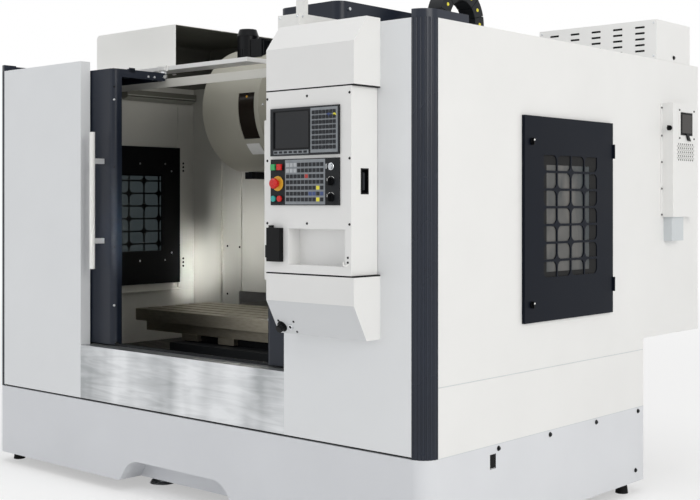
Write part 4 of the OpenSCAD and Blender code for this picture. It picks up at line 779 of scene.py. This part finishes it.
# %% [markdown]
# ## Magazine, motor and chain
#
# The drum's window is smoked plastic with a yellow index mark, and a white plate sits below it.
# Both follow the drum's shell. A flat plate could be bent by a modifier, but arcs drawn about the
# drum's axis and extruded need no fitting. The arm motor has a terminal box. The cable chain is
# dark with yellow pin caps on every link, instances along its two runs and round its bend.

# %% Drum window, lower plate and motor
SPINDLE_Y = 1009           # spindle axis, which the drum shares
DRUM_Z = 1745              # height of the drum's axis
def on_drum(radius, degrees):
    """Points (Y, Z) on the drum's shell; 0 degrees faces the operator."""
    arc = [math.radians(a) for a in degrees]
    return [(SPINDLE_Y - radius * math.cos(a), DRUM_Z + radius * math.sin(a)) for a in arc]


window = on_drum(312.2, range(-30, 13, 3)) + on_drum(308.5, reversed(range(-30, 13, 3)))
Shape().prism(window, -352, -232).done("drum_window_pane", "smoked_glass")
Shape().ball((-292, 700, 1786), 6, (1, 0.4, 1)).done("drum_index_mark", "yellow_plastic")
drum_points = []
for a in range(0, 360, 45):
    dy, dz = 285 * math.cos(math.radians(a)), 285 * math.sin(math.radians(a))
    drum_points.append(((-206, SPINDLE_Y + dy, DRUM_Z + dz), RIGHT))
scatter("drum_screws", PAN, drum_points, "zinc_plate", size=1.3)
lower = on_drum(317, range(-47, -33, 3)) + on_drum(320, reversed(range(-47, -33, 3)))
Shape().prism(lower, -345, -255).done("drum_lower_plate", "white_plastic", edge=0.6)
motor = Shape().box((-378, -300), (806, 872), (1990, 2080))
motor.box((-300, -290), (812, 866), (1998, 2072))
motor.rod((-340, 839, 1990), (-340, 839, 1972), 11, seg=16)
motor.done("motor_terminal_box", "motor_black_paint", edge=2.5)
MOTOR_X, MOTOR_Y = -430, 839
cap = Shape()
for k in range(4):
    cap.box((MOTOR_X - 14, MOTOR_X + 14), (MOTOR_Y - 2, MOTOR_Y + 2), (2134.5, 2136.2),
            Matrix.Rotation(math.radians(90 * k), 3, "Z"), (MOTOR_X, MOTOR_Y, 2135))
cap.rod((MOTOR_X, MOTOR_Y, 2134), (MOTOR_X, MOTOR_Y, 2136.5), 12, seg=20)
cap.done("motor_cap", "black_oxide_steel", edge=0.4)
foot_points = [((MOTOR_X + 46 * math.cos(a), MOTOR_Y + 46 * math.sin(a), 1820), UP)
               for a in (0.6, 2.2, 3.8, 5.3)]
scatter("motor_screws", CAP, foot_points, "zinc_plate", size=0.7)
print("Drum and motor screws:", len(drum_points + foot_points))

# %% Cable chain
CHAIN_X, BEND_Y, BEND_Z, BEND_R, LINK = 405, 1501, 2168, 141, 70
dress("drag_chain", "dark_grey_plastic", edge=1.0)
pins = []
for y, low in ((1360, 1730), (1642, 1880)):
    links = int((BEND_Z - low) / LINK)
    pins += [((CHAIN_X, y, BEND_Z - LINK * k), RIGHT) for k in range(links)]
for k in range(1, 6):
    a = math.radians(30 * k)
    pins.append(((CHAIN_X, BEND_Y - BEND_R * math.cos(a), BEND_Z + BEND_R * math.sin(a)), RIGHT))
scatter("chain_pins", PIN, pins, "key_yellow_plastic", "cable_chain")
print("Chain pins:", len(pins))

# %% [markdown]
# ## Signal tower and head
#
# A wiring box on the front panel carries a post and three lamps with bright rings between them.
# Lamps could be pieces of their own, but they are one rigid solid, so their finishes are picked
# by height. The domes let a little light through, which looks like tinted plastic by itself.

# %% Signal tower, head and switch
dress("signal_tower", edge=1.0, paint=[
    ("tower_red", within(z=(2345, 2407))), ("tower_amber", within(z=(2279, 2341))),
    ("tower_green", within(z=(2213, 2275))), ("zinc_plate", within(z=(2062, 2208)))])
tower_points = [((x, 20, z), FRONT) for x in (613, 707) for z in (1934, 1991)]
tower_points += [((717, y, z), RIGHT) for y in (40, 280) for z in (1934, 1991)]
scatter("tower_screws", PAN, tower_points, "zinc_plate")
cover_points = [((202, y, z), RIGHT) for y in (885, 1440) for z in (2040, 2177)]
scatter("head_cover_bolts", CAP, cover_points, "zinc_plate", "head")
head_points = [((x, 826, z), FRONT) for x in (-130, 130) for z in (1690, 1980)]
scatter("head_plate_screws", PAN, head_points, "zinc_plate", "head", size=1.4)
nose = []
for k in range(6):
    a = math.radians(30 + 60 * k)
    nose.append(((54 * math.cos(a), SPINDLE_Y + 54 * math.sin(a), 1430), DOWN))
scatter("spindle_nose_screws", CAP, nose, "black_oxide_steel", "spindle", size=0.45)
dress("main_switch", edge=0.8)
print("Tower and head screws:", len(tower_points + cover_points + head_points + nose))

# %% [markdown]
# ## Console
#
# The swinging box carries the display unit and the operator panel. The display unit is a dark
# screen beside a silver grey keypad; the operator panel has black ends with buttons and knobs and
# a silver grey field of small dark keys between them. The keys are sealed and have no travel, so
# they are faces of the solid with a finish of their own, and a thin grey plate fills the space
# between them. A picture of a keypad would be flat in the light and blurred close up.

# %% Console box and seams
CONSOLE_Y = -143           # face of the console box
dress("console_box", edge=1.4)
dress("console_fittings", "black_plastic", edge=2.0)
console_points = [((x, CONSOLE_Y, z), FRONT) for x, z in (
    (711, 1660), (915, 1661), (1121, 1662), (711, 1431), (1121, 1431), (711, 1199),
    (915, 1200), (1121, 1199))]
scatter("console_box_screws", PAN, console_points, "black_oxide_steel", "console_box")
hook_points = [((1113, CONSOLE_Y, z), FRONT) for z in (1082, 1065)]
scatter("hook_screws", PAN, hook_points, "black_oxide_steel", "console_box", size=0.9)


def curve(points, steps=12):
    """A smooth cubic path through points; each is passed along the line of its neighbours."""
    pts = [Vector(p) for p in points]
    pts = [pts[0] * 2 - pts[1]] + pts + [pts[-1] * 2 - pts[-2]]
    out = []
    for i in range(1, len(pts) - 2):
        p0, p1, p2, p3 = pts[i - 1:i + 3]
        for k in range(steps):
            t = k / steps
            out.append(0.5 * ((2 * p1) + (p2 - p0) * t + (2 * p0 - 5 * p1 + 4 * p2 - p3) * t * t
                              + (3 * p1 - p0 - 3 * p2 + p3) * t ** 3))
    return out + [pts[-2]]


wire = curve([(1092, -144, 1066), (1100, -152, 1056), (1110, -150, 1053), (1119, -145, 1060)])
Shape().tube(wire, 2.4).done("tray_hook", "white_plastic", "console_box")
seams = Shape()
for z in (1012.5, 1686.5):
    seams.box((705.5, 1141.4), (-143.4, -1), (z, z + 4.5))
seams.done("console_seams", "rubber")
bezel = Shape().frame("x", 1129, (-93, -51), (1305, 1397), 5, 1.6)
bezel.done("side_pull_bezel", "black_plastic", "console_box", edge=1.2)
grip = Shape().box((1112, 1126), (-79, -65), (1320, 1382))
grip.done("side_pull_grip", "key_dark_plastic", "console_box", edge=3)
print("Console screws:", len(console_points + hook_points))

# %% Display unit
UNIT_Y = -151              # face of the display unit
dress("display_unit", edge=0.5, paint=[
    ("screen_glass", within((-FAR, 932), (-148, -146), (1474, 1609))),
    ("key_dark_plastic", lambda c, n: c.y < -151.5 or (c.y < UNIT_Y and c.x > 940)),
])
keys = Shape().box((940, 1072), (UNIT_Y - 0.5, UNIT_Y), (1455, 1616))
keys.done("keypad_plate", "membrane_grey", "console_box", edge=0.2)
bezel = Shape().frame("y", UNIT_Y, (748, 934), (1471, 1612), 4, -1.2)
bezel.done("screen_bezel", "black_plastic", "console_box", edge=0.4, slot="panel_plastic")
soft = Shape().box((752, 930), (-151.4, UNIT_Y), (1453, 1467))
soft.done("soft_key_strip", "membrane_grey", "console_box")
port = Shape().box((1020, 1042), (UNIT_Y - 2, UNIT_Y), (1582, 1596))
port.done("data_port_cap", "key_blue_plastic", "console_box", edge=0.6)
memory = Shape().rod((1058, UNIT_Y, 1588), (1058, UNIT_Y - 3, 1588), 6, seg=20)
memory.done("memory_cap", "key_yellow_plastic", "console_box", edge=0.5, slot="panel_plastic")
print("Display unit done")


# %% Operator panel: the sealed keys
PANEL_Y = -149             # face of the operator panel


def field_key(c, n):
    return c.y < -149.3 and 812 < c.x < 1006


def painted_key(x, z):
    return lambda c, n: field_key(c, n) and abs(c.x - x) < 9 and abs(c.z - z) < 10


dress("operator_panel", edge=0.4, paint=[
    ("key_dark_plastic", field_key),
    ("key_light_plastic", lambda c, n: field_key(c, n) and c.x < 872 and c.z > 1380),
    ("key_red_plastic", painted_key(926, 1371)), ("key_yellow_plastic", painted_key(977, 1287)),
    ("key_yellow_plastic", painted_key(977, 1329)), ("key_blue_plastic", painted_key(958, 1308)),
    ("key_blue_plastic", painted_key(996, 1308)), ("key_blue_plastic", painted_key(939, 1308)),
])
keys = Shape().box((810, 1010), (-149.7, PANEL_Y), (1269, 1432))
keys.done("key_field_plate", "membrane_grey", "console_box", edge=0.2)
print("Key field done")

# %% Operator panel: buttons, switches and their rings
BUTTON_X, SWITCH_X = (755, 787), 1038
KNOB_Z = {"feed_knob": 1350, "speed_knob": 1293}
for n in ("stop_mushroom", "on_button", "off_button", "start_button", "hold_button",
          "key_switch", "feed_knob", "speed_knob"):
    dress(n, edge=0.8, segments=3)
collar = Shape().rod((772, PANEL_Y, 1346), (772, -151.6, 1346), 28, 27, seg=40)
collar.done("stop_collar", "yellow_plastic", "console_box", edge=0.5)
rings = Shape()
for x in BUTTON_X:
    rings.rod((x, PANEL_Y, 1290), (x, -151.5, 1290), 14, 13, seg=28)
for x in BUTTON_X:
    rings.box((x - 13.5, x + 13.5), (-151.5, PANEL_Y), (1406 - 13.5, 1406 + 13.5))
rings.done("button_bezels", "dark_grey_plastic", "console_box", edge=0.5)
ring = Shape().rod((SWITCH_X, PANEL_Y, 1404), (SWITCH_X, PANEL_Y - 2, 1404), 14, 13, seg=28)
ring.done("key_switch_ring", "chrome_plate", "console_box", edge=0.4)
dial = Shape()
for z in KNOB_Z.values():
    for a0, a1 in ((150, 210), (100, 140), (40, 80)):
        turns = [math.radians(a) for a in range(a0, a1 + 1, 10)]
        dial.tube([(SWITCH_X + 19 * math.cos(a), -149.2, z + 19 * math.sin(a)) for a in turns],
                  0.9, seg=6)
dial.done("dial_arcs", "white_plastic", "console_box")
for n, z in KNOB_Z.items():
    pointer = Shape().box((1037.2, 1038.8), (-169.6, -169), (z + 2, z + 12))
    pointer.done(n + "_pointer", "white_plastic", n)
print("Buttons and knobs done")

# %% Lower bevel of the console
down_front = Vector((0, -127, -68)).normalized()
knob_at, socket_at = Vector((737, -89, 813)), Vector((783, -90, 815))
knob = Shape().rod(knob_at, knob_at + down_front * 5, 22, seg=28)
knob.rod(knob_at + down_front * 5, knob_at + down_front * 25, 17, 15, seg=8)
knob.done("lower_knob", "black_plastic", edge=1.2)
ring = Shape().rod(socket_at, socket_at + down_front * 6, 12, 10.5, seg=24)
ring.done("lower_socket_ring", "chrome_plate", edge=0.5)
socket = Shape().rod(socket_at, socket_at + down_front * 6.5, 6, seg=20)
socket.done("lower_socket", "dark_gap")
bevel_points = [(p, tuple(down_front)) for p in
                ((727, -101, 834), (806, -101, 835), (805, -80, 796))]
scatter("lower_screws", PAN, bevel_points, "black_oxide_steel")

# %% [markdown]
# ## Stage
#
# A plain pale floor and soft studio light at a plain level. A curved backdrop could hide the
# horizon, but a wide floor that turns white with distance does so too and keeps the shadow. That
# white is only for the camera, reflections and glass, so it adds no light to the machine. The
# camera is level with its lens shifted down, as the upright edges of the photograph ask.

# %% Floor and world
def seen_directly(tree):
    """1 for camera, glossy and transmission rays, 0 for the rays that light the machine."""
    rays = tree.nodes.new("ShaderNodeLightPath").outputs
    first = add(tree, "ShaderNodeMath", set_operation="MAXIMUM",
                in_0=rays["Is Camera Ray"], in_1=rays["Is Transmission Ray"])
    return add(tree, "ShaderNodeMath", set_operation="MAXIMUM",
               in_0=first.outputs[0], in_1=rays["Is Glossy Ray"])


HALF_FLOOR = 60.0
tree, shader, co = surface("studio_floor", "#fdfdfd", 0.7)
me = bpy.data.meshes.new("floor")
me.from_pydata([(-HALF_FLOOR, -HALF_FLOOR, 0), (HALF_FLOOR, -HALF_FLOOR, 0),
                (HALF_FLOOR, HALF_FLOOR, 0), (-HALF_FLOOR, HALF_FLOOR, 0)], [], [(0, 1, 2, 3)])
me.materials.append(MATS["studio_floor"])
floor = link("studio_floor", me)
far = add(tree, "ShaderNodeVectorMath", set_operation="LENGTH", in_0=co)
white = add(tree, "ShaderNodeMapRange", in_0=far.outputs["Value"],
            in_1=3.0, in_2=13.0, in_3=0.45, in_4=1.0)
share = add(tree, "ShaderNodeMath", set_operation="MULTIPLY",
            in_0=seen_directly(tree).outputs[0], in_1=white.outputs[0])
backdrop = add(tree, "ShaderNodeEmission", Color=col("#ffffff"))
blend = add(tree, "ShaderNodeMixShader", in_0=share.outputs[0], in_1=shader.outputs[0],
            in_2=backdrop.outputs[0])
tree.links.new(blend.outputs[0], tree.nodes["Material Output"].inputs[0])

world = bpy.data.worlds.new("studio")
bpy.context.scene.world = world
world.use_nodes = True
tree = world.node_tree
strength = add(tree, "ShaderNodeMapRange", in_0=seen_directly(tree).outputs[0],
               in_3=0.6, in_4=1.0)
sky = tree.nodes["Background"]
sky.inputs[0].default_value = col("#ffffff")
tree.links.new(strength.outputs[0], sky.inputs[1])
print("Floor and world ready")


# %% Lamps and camera
def light(name, at, to, size, power, tint="#ffffff", spread=180):
    """An area lamp at a place, aimed at a point, both in metres; power in watts."""
    d = bpy.data.lights.new(name, "AREA")
    d.shape, d.size, d.size_y = "RECTANGLE", size[0], size[1]
    d.energy, d.color, d.spread = power, col(tint)[:3], math.radians(spread)
    o = link(name, d)
    o.location = Vector(at)
    o.rotation_euler = (Vector(to) - Vector(at)).to_track_quat("-Z", "Y").to_euler()


WARM, COOL, NEUTRAL = "#fffdf8", "#f4f9ff", "#fffefa"
light("key_right", (9.0, -2.5, 4.2), (1.0, 0.0, 1.0), (4.5, 4.0), 240, WARM)
light("fill_front", (-2.5, -8.0, 3.4), (0.0, 0.0, 1.0), (5.0, 3.0), 35, COOL)
light("top", (0.0, -0.5, 6.5), (0.0, 0.0, 1.0), (5.0, 4.0), 100)
# Two faint narrow beams through the open door, for the bright patch on the back of the liner.
light("inner_fill", (1.85, -4.6, 1.6), (-0.85, 0.28, 1.1), (0.3, 0.3), 0.6, NEUTRAL, 8)
light("wall_patch", (2.66, -4.6, 1.84), (-1.25, 0.2, 0.93), (0.15, 0.15), 0.45, NEUTRAL, 4.5)

cam_data = bpy.data.cameras.new("camera")
cam_data.sensor_width, cam_data.lens, cam_data.shift_y = 36.0, 61.48, -0.0673
cam = link("camera", cam_data)
cam.location = P(3903.16, -3267.71, 1274.58)
cam.rotation_euler = (math.pi / 2, 0.0, math.radians(41.66))
bpy.context.scene.camera = cam
bpy.context.scene.view_settings.view_transform = "Standard"
print("Camera at", [round(v, 3) for v in cam.location])
